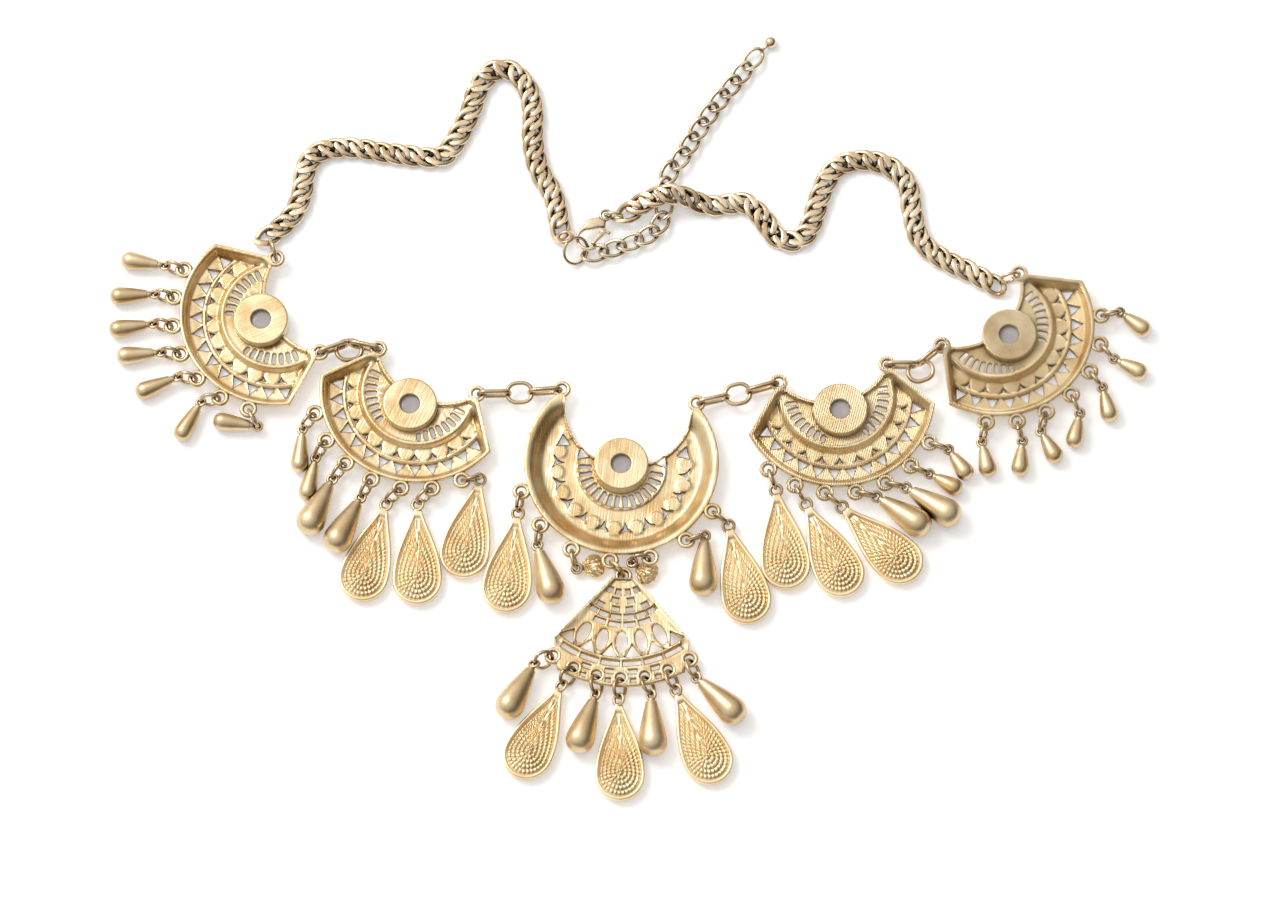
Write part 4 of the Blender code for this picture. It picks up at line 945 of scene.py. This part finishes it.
def grain_rows(count, length, number):
    """Rows of a granulated drop: an eased smooth rim round a dome of concentric granules."""
    level = np.ones(count)
    rim = ((0.84, 0.02), (0.93, 0.15), (0.975, 0.7), (0.995, 1.5), (1.0, 2.1), (0.993, GRAIN_RIM - 0.18),
           (0.97, GRAIN_RIM), (0.90, GRAIN_RIM), (0.868, GRAIN_RIM - 0.12), (0.85, GRAIN_RIM - 0.55))
    rows = [(share, height * level) for share, height in rim]
    inner = GRAIN_INNER
    turn = np.arange(count) / count
    for row in range(GRAIN_ROWS):
        far = inner * (1 - row / GRAIN_ROWS)
        near = inner * (1 - (row + 1) / GRAIN_ROWS)
        middle = (far + near) / 2
        beads = max(3, round(length * middle / GRAIN_PITCH))
        phase = math.pi * beads * turn + number + row
        for step in range(5):
            share = far + (near - far) * step / 5
            ridge = math.sin(math.pi * step / 5)
            dome = GRAIN_RIM - 0.45 + (GRAIN_DOME - GRAIN_RIM + 0.1) * (1 - (share / inner) ** 2)
            grain = GRAIN_LOW + GRAIN_RISE * np.abs(np.sin(phase)) ** GRAIN_ROUNDNESS
            rows.append((share, dome - 0.1 + ridge * grain))
    rows.append((0.012, (GRAIN_DOME - 0.1) * level))
    return rows


def shell_rows(outline, core):
    """Rows of a small shell whose ribs spread from its eye."""
    level = np.ones(len(outline))
    rows = [(0.8, 0.02 * level), (0.95, 0.3 * level), (1.0, 0.9 * level)]
    for step in range(11):
        share = 0.98 * (1 - step / 10) + 0.02
        flat = core + (outline - core) * share
        fan = np.arctan2(flat[:, 1], flat[:, 0])
        ribs = np.abs(np.cos(fan * SHELL_RIBS * 1.3))
        dome = SHELL_RIM - 0.2 + (SHELL_DOME - SHELL_RIM) * (1 - share ** 2)
        beads = 0.45 + 0.55 * abs(math.sin(math.pi * step / 2.5))
        rows.append((share, dome + 0.6 * beads * ribs * min(1, 2.5 * share) * level))
    return rows


def jump_ring_frame(loop, loop_height, ring_heading, eye_height, lean):
    """Centre, axes and far point of a jump ring that hangs in a loop."""
    out = heading_vector(ring_heading)
    start = Vector((*loop, loop_height)) + out * RING_SEAT
    along = (out + Vector((0, 0, (eye_height - loop_height) / (2 * RING_RADIUS)))).normalized()
    level, upward = across_and_up(along)
    leaning = math.radians(lean)
    up = upward * math.cos(leaning) + level * math.sin(leaning)
    return start + along * RING_RADIUS, along, up, start + along * 2 * RING_RADIUS


def drop(name, loop, loop_height, row, lean, number, finishes):
    """Jump ring through a loop, with the drop and its eye."""
    ring_heading, heading, kind = row
    centre, along, up, eye = jump_ring_frame(loop, loop_height, ring_heading, EYE_HEIGHT[kind], lean)
    shape = Shape()
    slit_at = 60 + 37 * number % 240
    path = oval(centre, along, up, RING_RADIUS, RING_RADIUS, 32, RING_SLIT, slit_at)
    wire(shape, path, RING_WIRE, slit=True, finish=1)
    axis = heading_vector(heading)
    if kind in PLAIN_REACH:
        radius = PLAIN_RADIUS[kind]
        blunt = Vector((eye.x, eye.y, 0)) + axis * PLAIN_REACH[kind] + Vector((0, 0, radius))
        axis = (blunt - eye).normalized()
        lathe(shape, plain_profile((blunt - eye).length, radius), axis_frame(eye, axis), 32)
    elif kind == "grain":
        outline, length = teardrop_outline(GRAIN_START, GRAIN_REACH, GRAIN_HALF_WIDTH, GRAIN_END, GRAIN_COUNT)
        core = np.array([GRAIN_REACH - GRAIN_CORE, 0])
        flat_drop(shape, eye, heading, outline, core, grain_rows(GRAIN_COUNT, length, number), 2)
    else:
        outline = teardrop_outline(SHELL_START, SHELL_REACH, SHELL_HALF_WIDTH, SHELL_END, SHELL_COUNT)[0]
        core = np.array([SHELL_REACH * SHELL_CORE, 0])
        flat_drop(shape, eye, heading, outline, core, shell_rows(outline, core), 2)
    across = (axis - up * axis.dot(up)).normalized()
    radius = DROP_EYE[kind]
    middle = eye + across * (radius - DROP_EYE_WIRE / 2 - RING_WIRE / 2 + EYE_SLACK[kind])
    wire(shape, oval(middle, across, up.cross(across), radius, radius, 24), DROP_EYE_WIRE)
    show(shape, name, finishes)


def run_span(sag):
    """Distance between the two ears that a connector joins."""
    if sag:
        return BUNCHED_SPAN
    return 2 * (OUTER_LINK + TAUT_SEAT - INTERLOCK) + MIDDLE_LINK


def link_run(name, first_ear, second_ear, sag, material):
    """Three links between two ears, taut or sagging to one side."""
    ends = [Vector((*first_ear, EAR_HEIGHT)), Vector((*second_ear, EAR_HEIGHT))]
    ahead = (ends[1] - ends[0]).normalized()
    across = Vector((-ahead.y, ahead.x, 0))
    reach = OUTER_LINK + (LOOSE_SEAT if sag else TAUT_SEAT)
    fall = EAR_HEIGHT - MIDDLE_LINK_HEIGHT
    run = (BUNCHED_SPAN - BUNCHED_GAP) / 2 if sag else math.sqrt(reach ** 2 - fall ** 2)
    aside = sag * math.sqrt(max(0, reach ** 2 - fall ** 2 - run ** 2))
    hooks = [end + way * run + across * aside - UP * fall for end, way in zip(ends, (ahead, -ahead))]
    middle = (hooks[0] + hooks[1]) / 2
    if sag:
        middle -= across * (MIDDLE_LINK_WIDTH / 2 - INTERLOCK)
    shape = Shape()
    for end, hook in zip(ends, hooks):
        along = (hook - end).normalized()
        up = across_and_up(along)[1]
        seat = hook - along * OUTER_LINK / 2
        path = oval(seat, along, up, OUTER_LINK / 2, OUTER_LINK_WIDTH / 2, LINK_COUNT)
        wire(shape, path, LINK_WIRE, LINK_SIDES)
    path = oval(middle, ahead, across, MIDDLE_LINK / 2, MIDDLE_LINK_WIDTH / 2, LINK_COUNT)
    wire(shape, path, LINK_WIRE, LINK_SIDES)
    show(shape, name, [material])


def smooth_route(points, count):
    """Points at even steps along a smooth curve through a route, with the way at each."""
    knots = [Vector(point) for point in points]
    padded = [2 * knots[0] - knots[1]] + knots + [2 * knots[-1] - knots[-2]]
    fine = []
    for a, b, c, d in zip(padded, padded[1:], padded[2:], padded[3:]):
        for k in range(ROUTE_STEPS):
            t = k / ROUTE_STEPS
            fine.append(0.5 * (2 * b + (c - a) * t + (2 * a - 5 * b + 4 * c - d) * t * t
                               + (3 * b - a - 3 * c + d) * t ** 3))
    fine.append(knots[-1])
    steps = np.array([(q - p).length for p, q in zip(fine, fine[1:])])
    runs = np.concatenate([[0], np.cumsum(steps)])
    table = np.array([tuple(point) for point in fine])
    marks = runs[-1] * (np.arange(count) + 0.5) / count
    return [Vector([np.interp(mark, runs, table[:, axis]) for axis in range(3)]) for mark in marks]


def route_length(points):
    """Rough length of a route from point to point."""
    return sum((Vector(q) - Vector(p)).length for p, q in zip(points, points[1:]))


def signed_power(value, power):
    """Power of a value's size, with the value's sign."""
    return math.copysign(abs(value) ** power, value)


def curb_chain(shape, points, pitch, thickness, width, twist, height, finish, yaw=CURB_YAW):
    """Links that twist from end to end and lie askew, each through the last, along a route."""
    count = round(route_length(points) * CURB_SLACK / pitch)
    middles = smooth_route(points, count)
    half_length = (pitch + 2 * thickness) / 2
    half_width = (width - thickness) / 2
    for k, middle in enumerate(middles):
        before = middles[max(0, k - 1)]
        after = middles[min(count - 1, k + 1)]
        along = (after - before).normalized()
        side = UP.cross(along).normalized()
        lift = along.cross(side)
        roll = math.radians(random.uniform(-CURB_ROLL, CURB_ROLL))
        place = Matrix((along, side, lift)).transposed() @ Matrix.Rotation(math.radians(yaw), 3, "Z")
        place = place @ Matrix.Rotation(roll, 3, "X")
        seat = middle + Vector((0, 0, height))
        path = []
        for i in range(CURB_STEPS):
            angle = math.radians(360 * i / CURB_STEPS)
            lean = math.radians(twist) * signed_power(math.cos(angle), TWIST_POWER)
            reach = half_width * signed_power(math.sin(angle), CURB_ROUNDNESS)
            path.append(seat + place @ Vector((half_length * math.cos(angle), reach * math.cos(lean),
                                               reach * math.sin(lean))))
        wire(shape, path, thickness, LINK_SIDES, finish=finish, filed=(seat, lift, CURB_FLAT))


def end_ring(shape, ear, chain_end):
    """Ring between an ear and the end of a chain; gives where the chain takes over."""
    start = Vector((*ear, EAR_HEIGHT))
    along = (Vector(chain_end) - start).normalized()
    up = across_and_up(along)[1]
    radius = CHAIN_RING_RADIUS
    wire(shape, oval(start + along * radius, along, up, radius, radius, 36), CHAIN_RING_WIRE, LINK_SIDES)
    return start + along * 2 * radius


def clasp_frame():
    """Frame of the clasp at the middle of its thickness."""
    place = Matrix.Translation((*CLASP_EYE, CLASP_FLOOR + CLASP_THICKNESS / 2))
    return place @ Matrix.Rotation(math.radians(CLASP_HEADING), 4, "Z")


def build_chains(right_ear, left_ear, finishes):
    """Both chains with their end rings, the closure ring and the extender with its ball."""
    curb = (CURB_PITCH, CURB_WIRE, CURB_WIDTH, CURB_TWIST, CURB_REST - CHAIN_HEIGHT, 0)
    clasp = clasp_frame()
    left = Shape()
    start = end_ring(left, left_ear, LEFT_ROUTE[0])
    curb_chain(left, [tuple(start)] + LEFT_ROUTE, *curb)
    hook = clasp @ Vector((CLASP_LENGTH - CLASP_WIDTH / 2 + CLOSURE_SEAT[0], CLOSURE_SEAT[1], 0))
    away = heading_vector(CLASP_HEADING + CLOSURE_TURN)
    centre = hook + away * CLOSURE_RADIUS
    across = Vector((-away.y, away.x, 0))
    lean = math.radians(CLOSURE_LEAN)
    up = across * math.cos(lean) + UP * math.sin(lean)
    ring = oval(centre, away, up, CLOSURE_RADIUS, CLOSURE_RADIUS, LINK_COUNT)
    wire(left, ring, CLOSURE_WIRE, LINK_SIDES, finish=1)
    last = Vector(LEFT_ROUTE[-1])
    high = centre - up * CLOSURE_RADIUS
    along = (high - last).normalized()
    level = across_and_up(along)[0]
    link = oval((last + high) / 2, along, level, (high - last).length / 2, CLOSURE_LINK_WIDTH / 2, 32)
    wire(left, link, LINK_WIRE, LINK_SIDES)
    curb_chain(left, EXTENDER_ROUTE[:-1], EXTENDER_PITCH, EXTENDER_WIRE, EXTENDER_WIDTH, EXTENDER_TWIST,
               EXTENDER_REST, 1, yaw=0.0)
    tip = Vector(EXTENDER_ROUTE[-1])
    ball = axis_frame(tip, (Vector(EXTENDER_ROUTE[-2]) - tip).normalized())
    rows = [(BALL_RADIUS * math.sin(math.radians(a)) + 0.02, -BALL_RADIUS * math.cos(math.radians(a)))
            for a in range(0, 157, 12)]
    rows += [(0.5, BALL_RADIUS + 0.2), (0.42, BALL_RADIUS + 0.8), (0.6, BALL_RADIUS + 1.2),
             (0.6, BALL_NECK - 0.2), (0.35, BALL_NECK)]
    lathe(left, rows, ball, 28, finish=1)
    show(left, "chain_left", finishes, sharp=CHAIN_SHARP)
    right = Shape()
    end = end_ring(right, right_ear, RIGHT_ROUTE[-1])
    curb_chain(right, RIGHT_ROUTE + [tuple(end)], *curb)
    eye = clasp @ Vector((0, 0, 0))
    way = Vector(RIGHT_ROUTE[0]) - eye
    along = way.normalized()
    reach = way.length / 2
    wire(right, oval(eye + along * reach, along, UP, reach, reach, 32), RING_WIRE, LINK_SIDES, finish=1)
    show(right, "chain_right", finishes, sharp=CHAIN_SHARP)


def edge_distance(x, y, outline):
    """Distance from a point to the nearest side of an outline."""
    best = math.inf
    for a, b in zip(outline, outline[1:] + outline[:1]):
        dx = b[0] - a[0]
        dy = b[1] - a[1]
        share = ((x - a[0]) * dx + (y - a[1]) * dy) / max(CDT_EPSILON, dx * dx + dy * dy)
        share = min(1, max(0, share))
        best = min(best, math.hypot(x - a[0] - share * dx, y - a[1] - share * dy))
    return best


def pillow(shape, outline, half):
    """Body whose two faces swell from an outline to a thickness."""
    xs = [x for x, _ in outline]
    ys = [y for _, y in outline]
    dots = [(min(xs) + PILLOW_STEP * i, min(ys) + PILLOW_STEP * j)
            for i in range(int((max(xs) - min(xs)) / PILLOW_STEP) + 1)
            for j in range(int((max(ys) - min(ys)) / PILLOW_STEP) + 1)]

    def rise(x, y):
        share = min(1, edge_distance(x, y, outline) / half)
        return half * (PILLOW_EDGE + (1 - PILLOW_EDGE) * math.sqrt(1 - (1 - share) ** 2))

    sheet(shape, [outline], [], dots, rise, lambda x, y: -rise(x, y), 0)


def build_clasp(material):
    """Rounded hook with its eye, and the lever that closes it."""
    half = CLASP_WIDTH / 2
    bow = (CLASP_LENGTH - half, 0)
    inner = half - CLASP_WALL
    eye = CLASP_EYE_RADIUS
    neck = [(eye + 1.6, -half * 0.9), (eye * 0.8, -eye * 0.6), (eye * 0.8, eye * 0.6),
            (eye + 1.2, half * 0.55)]
    seat = [(eye + 2.2, half * 0.15), (eye + 3.7, -inner * 0.3), (eye + 5.0, -inner * 0.85)]
    outline = arc(bow, half, HOOK_TIP, -90, 24) + neck + seat + arc(bow, inner, -90, HOOK_TIP, 18)
    body = Shape()
    pillow(body, outline, CLASP_THICKNESS / 2)
    ring = flat_ring(Vector(), (CLASP_EYE_RADIUS + CLASP_EYE_HOLE) / 2, 24)
    wire(body, ring, CLASP_EYE_RADIUS - CLASP_EYE_HOLE, tall=CLASP_EYE_TALL)
    show(body, "clasp_body", [material], clasp_frame())
    x, y = LEVER_PIVOT
    tip = polar(bow, inner - LEVER_CLEARANCE, HOOK_TIP)
    bar = [(x, y + LEVER_ROOT), tip, (tip[0] - 0.1, tip[1] - LEVER_WIDTH / 2 * 1.4), (x, y - LEVER_ROOT)]
    bar += [(x - 0.6, y + LEVER_ROOT * 0.5), (x - 1.0, y + LEVER_TAB), (x - 0.1, y + LEVER_TAB + 0.1)]
    lever = Shape()
    flat = LEVER_THICKNESS / 2
    pillow(lever, bar, flat)
    rows = [(LEVER_ROOT * 0.6, -flat), (LEVER_ROOT, -flat + 0.15), (LEVER_ROOT, flat - 0.15),
            (LEVER_ROOT * 0.6, flat)]
    lathe(lever, rows, Matrix.Translation((x, y, 0)), 24)
    show(lever, "clasp_lever", [material], clasp_frame(), "lever")


def put(material, kind, inputs=None, **settings):
    """New shader node with its settings; each input is a value or another node's output."""
    made = material.node_tree.nodes.new("ShaderNode" + kind)
    for name, value in settings.items():
        setattr(made, name, value)
    for name, value in (inputs or {}).items():
        if isinstance(value, bpy.types.NodeSocket):
            material.node_tree.links.new(value, made.inputs[name])
        else:
            made.inputs[name].default_value = value
    return made


def spread(material, value, near, far, low=0.0, high=1.0):
    """Value carried from one range onto another."""
    return put(material, "MapRange", {"Value": value, "From Min": near, "From Max": far, "To Min": low,
                                      "To Max": high}).outputs["Result"]


def blend(material, share, first, second):
    """Mix of two colours by a share of the second."""
    return put(material, "MixRGB", {"Fac": share, "Color1": first, "Color2": second}).outputs["Color"]


def new_material(name):
    """Material with the shader of its surface."""
    material = bpy.data.materials.new(name)
    material.use_nodes = True
    return material, material.node_tree.nodes["Principled BSDF"]


def gold(name, pale, deep, shade_colour, roughness, streaks=0.0, regular=0.0, grain=0.3, shade_distance=0.0022, shade_strength=0.95):
    """Metal with cloudy tones, painted shade in its recesses, a fine grain and parallel streaks."""
    material, shader = new_material(name)
    link = material.node_tree.links.new
    where = put(material, "TexCoord").outputs["Object"]
    cloud = put(material, "TexNoise", {"Vector": where, "Scale": CLOUD_SCALE, "Detail": 4.0}).outputs["Fac"]
    tone = spread(material, cloud, 0.38, 0.62)
    base = blend(material, tone, (*deep, 1), (*pale, 1))
    # Painted shade: ambient occlusion mixes the colour towards a dark shade colour in recesses and between
    # parts
    near = put(material, "AmbientOcclusion", {"Distance": shade_distance}, samples=16).outputs["AO"]
    painted_shade = spread(material, near, 0.25, 0.9, shade_strength, 0.0)
    colour = blend(material, painted_shade, base, (*shade_colour, 1))
    fine = put(material, "TexNoise", {"Vector": where, "Scale": FINE_SCALE, "Detail": 3.0}).outputs["Fac"]
    link(spread(material, cloud, 0.3, 0.7, roughness - 0.07, roughness + 0.07), shader.inputs["Roughness"])
    shader.inputs["Metallic"].default_value = 1.0
    height = put(material, "Math", {0: fine, 1: grain}, operation="MULTIPLY").outputs[0]
    if streaks:
        drawn = put(material, "Mapping", {"Vector": where, "Scale": BRUSH_SCALE}).outputs["Vector"]
        loose = put(material, "TexNoise", {"Vector": drawn, "Scale": 1.0, "Detail": 1.5}).outputs["Fac"]
        waves = {"Vector": where, "Scale": WAVE_SCALE, "Distortion": 0.4}
        even = put(material, "TexWave", waves).outputs["Fac"]
        lines = blend(material, regular, loose, even)
        worn = spread(material, lines, 0.35, 0.65, 0.3, 0.0)
        colour = blend(material, worn, colour, (*deep, 1))
        lines = put(material, "Math", {0: lines, 1: streaks}, operation="MULTIPLY").outputs[0]
        height = put(material, "Math", {0: height, 1: lines}, operation="ADD").outputs[0]
    link(colour, shader.inputs["Base Color"])
    bump = put(material, "Bump", {"Height": height, "Strength": 0.65, "Distance": 0.00018}).outputs["Normal"]
    link(bump, shader.inputs["Normal"])
    return material


def grey_stone():
    """Slightly cloudy grey stone with a soft gloss."""
    material, shader = new_material("grey_stone")
    link = material.node_tree.links.new
    where = put(material, "TexCoord").outputs["Object"]
    cloud = put(material, "TexNoise", {"Vector": where, "Scale": 300.0, "Detail": 5.0}).outputs["Fac"]
    link(blend(material, cloud, (0.30, 0.27, 0.27, 1), (0.62, 0.58, 0.57, 1)), shader.inputs["Base Color"])
    link(spread(material, cloud, 0.0, 1.0, 0.08, 0.24), shader.inputs["Roughness"])
    bump = put(material, "Bump", {"Height": cloud, "Strength": 0.5, "Distance": 0.0006}).outputs["Normal"]
    link(bump, shader.inputs["Normal"])
    return material


def build_necklace():
    """Crescent first, then each side outward from its ears, as the solids are placed."""
    # The third colour of each gold is the painted shade of its recesses and of the gaps between parts
    cast = gold("cast_gold", (0.92, 0.77, 0.51), (0.76, 0.53, 0.26), (0.11, 0.055, 0.018), 0.33, streaks=0.6)
    drawn = gold("drawn_gold", (0.95, 0.79, 0.52), (0.72, 0.53, 0.29), (0.13, 0.07, 0.025), 0.33, 1.3, 0.8)
    bright = gold("drop_gold", (0.84, 0.67, 0.43), (0.70, 0.51, 0.28), (0.12, 0.06, 0.02), 0.38)
    ring = gold("ring_gold", (0.74, 0.58, 0.37), (0.52, 0.37, 0.21), (0.09, 0.045, 0.015), 0.27)
    granule = gold("granule_gold", (1.0, 0.83, 0.54), (0.90, 0.68, 0.40), (0.46, 0.29, 0.14), 0.34,
                   shade_distance=0.0007, shade_strength=0.5)
    rose = gold("rose_gold", (0.92, 0.75, 0.52), (0.66, 0.47, 0.28), (0.06, 0.027, 0.01), 0.24, shade_distance=0.0035)
    pale = gold("clasp_gold", (0.92, 0.79, 0.56), (0.68, 0.52, 0.33), (0.10, 0.05, 0.02), 0.20)
    gem = grey_stone()
    finishes = [bright, ring, granule]
    place = placed(*CRESCENT_PLACE, CRESCENT_TURN)
    ears, loops, cup = crescent_plate("crescent_plate", place, [cast])
    stone("stone_middle", place, cup, gem)
    hang_drops("crescent", loops, EAR_HEIGHT, RING_LEAN, finishes)
    build_pendant(loops[LOOPS // 2], [cast], finishes)
    far_ears = []
    for hand, side, start, rows in (("right", 1, ears[1], RIGHT_ROWS), ("left", -1, ears[0], LEFT_ROWS)):
        for level, heading, sag, turn in rows:
            near = Vector(start) + heading_vector(heading).xy * run_span(sag)
            order = (start, near) if side > 0 else (near, start)
            link_run(f"link_run_{level}_{hand}", *order, sag, ring)
            middle = near + heading_vector(turn).xy * side * FAN_EAR_SPAN / 2
            place = placed(*middle, turn)
            metal = drawn if hand == "right" else cast
            ears, loops, cup = fan_plate(f"fan_{level}_{hand}", place, [metal])
            stone(f"stone_{level}_{hand}", place, cup, gem)
            hang_drops(f"{level}_{hand}", loops, EAR_HEIGHT, RING_LEAN, finishes)
            start = ears[1] if side > 0 else ears[0]
        far_ears.append(start)
    build_chains(far_ears[0], far_ears[1], [rose, pale])
    build_clasp(pale)


def build_pendant(loop, materials, finishes):
    """Pendant plate with the ring that hangs it from the crescent."""
    out = heading_vector(PENDANT_RING_HEADING)
    start = Vector((*loop, EAR_HEIGHT)) + out * RING_SEAT
    end = start + out * 2 * RING_RADIUS
    end.z = PENDANT_MIDDLE
    along = (end - start).normalized()
    up = across_and_up(along)[1]
    ring = oval((start + end) / 2, along, up, RING_RADIUS, RING_RADIUS, 32, RING_SLIT, 90)
    down = heading_vector(PENDANT_HEADING)
    apex = end.xy - down.xy * PENDANT_EYE
    place = placed(*apex, PENDANT_HEADING + 90)
    loops = pendant_plate("pendant_plate", place, ring, materials)
    hang_drops("pendant", loops, PENDANT_MIDDLE, PENDANT_RING_LEAN, finishes)


def hang_drops(group, loops, height, lean, finishes):
    """One drop for each loop of a plate that carries one."""
    for index, (loop, row) in enumerate(zip(loops, DROPS[group])):
        if row:
            drop(f"drop_{group}_{index + 1}", loop, height, row, lean, index, finishes)


def find_shift():
    """Way from this script's numbers to the frame's, read at the middle stone."""
    low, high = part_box("stone_middle")
    place = placed(*CRESCENT_PLACE, CRESCENT_TURN)
    home = place @ Vector((0, -CRESCENT_CUP_DROP, CUP_TOP - CUP_BACK - STONE_CLEARANCE))
    found = Vector(((low.x + high.x) / 2, (low.y + high.y) / 2, high.z)) / MM
    return found - home


def build_floor():
    """White surface on which the necklace lies."""
    mesh = bpy.data.meshes.new("floor")
    ways = ((-1, -1), (1, -1), (1, 1), (-1, 1))
    corners = [(x * FLOOR_HALF, y * FLOOR_HALF, -FLOOR_DROP * MM) for x, y in ways]
    mesh.from_pydata(corners, [], [(0, 1, 2, 3)])
    material, shader = new_material("white_surface")
    shader.inputs["Base Color"].default_value = (0.92, 0.92, 0.92, 1)
    shader.inputs["Roughness"].default_value = 0.9
    shader.inputs["Emission Color"].default_value = (1, 1, 1, 1)
    shader.inputs["Emission Strength"].default_value = FLOOR_GLOW
    mesh.materials.append(material)
    floor = new_object("floor", mesh)


def build_light():
    """Soft key from the upper left, and a pale sky that darkens away from it."""
    lamp = bpy.data.lights.new("key", "AREA")
    lamp.shape = "DISK"
    lamp.size = LAMP_SIZE
    lamp.energy = LAMP_POWER
    key = new_object("key", lamp)
    key.location = LAMP_PLACE
    key.rotation_euler = (-key.location).to_track_quat("-Z", "Y").to_euler()
    sky = bpy.data.worlds.new("sky")
    sky.use_nodes = True
    bpy.context.scene.world = sky
    way = put(sky, "TexCoord").outputs["Generated"]
    facing = put(sky, "VectorMath", {0: way, 1: SKY_WAY}, operation="DOT_PRODUCT").outputs["Value"]
    back = sky.node_tree.nodes["Background"]
    back.inputs["Color"].default_value = (1, 0.985, 0.96, 1)
    sky.node_tree.links.new(spread(sky, facing, 0.05, 0.9, 0.12, 1.02), back.inputs["Strength"])


def build_camera():
    """Camera that looks down at the photograph's angle."""
    lens = bpy.data.cameras.new("camera")
    lens.lens = VIEW_LENS
    lens.clip_end = 20
    camera = new_object("camera", lens)
    lift = math.radians(VIEW_ELEVATION)
    way = Vector((0, -math.cos(lift), math.sin(lift)))
    camera.location = Vector(VIEW_TARGET) + way * VIEW_DISTANCE
    camera.rotation_euler = (-way).to_track_quat("-Z", "Y").to_euler()
    bpy.context.scene.camera = camera


random.seed(SEED)
SHIFT = find_shift()
build_necklace()
build_floor()
build_light()
build_camera()
bpy.context.scene.view_settings.view_transform = "Standard"
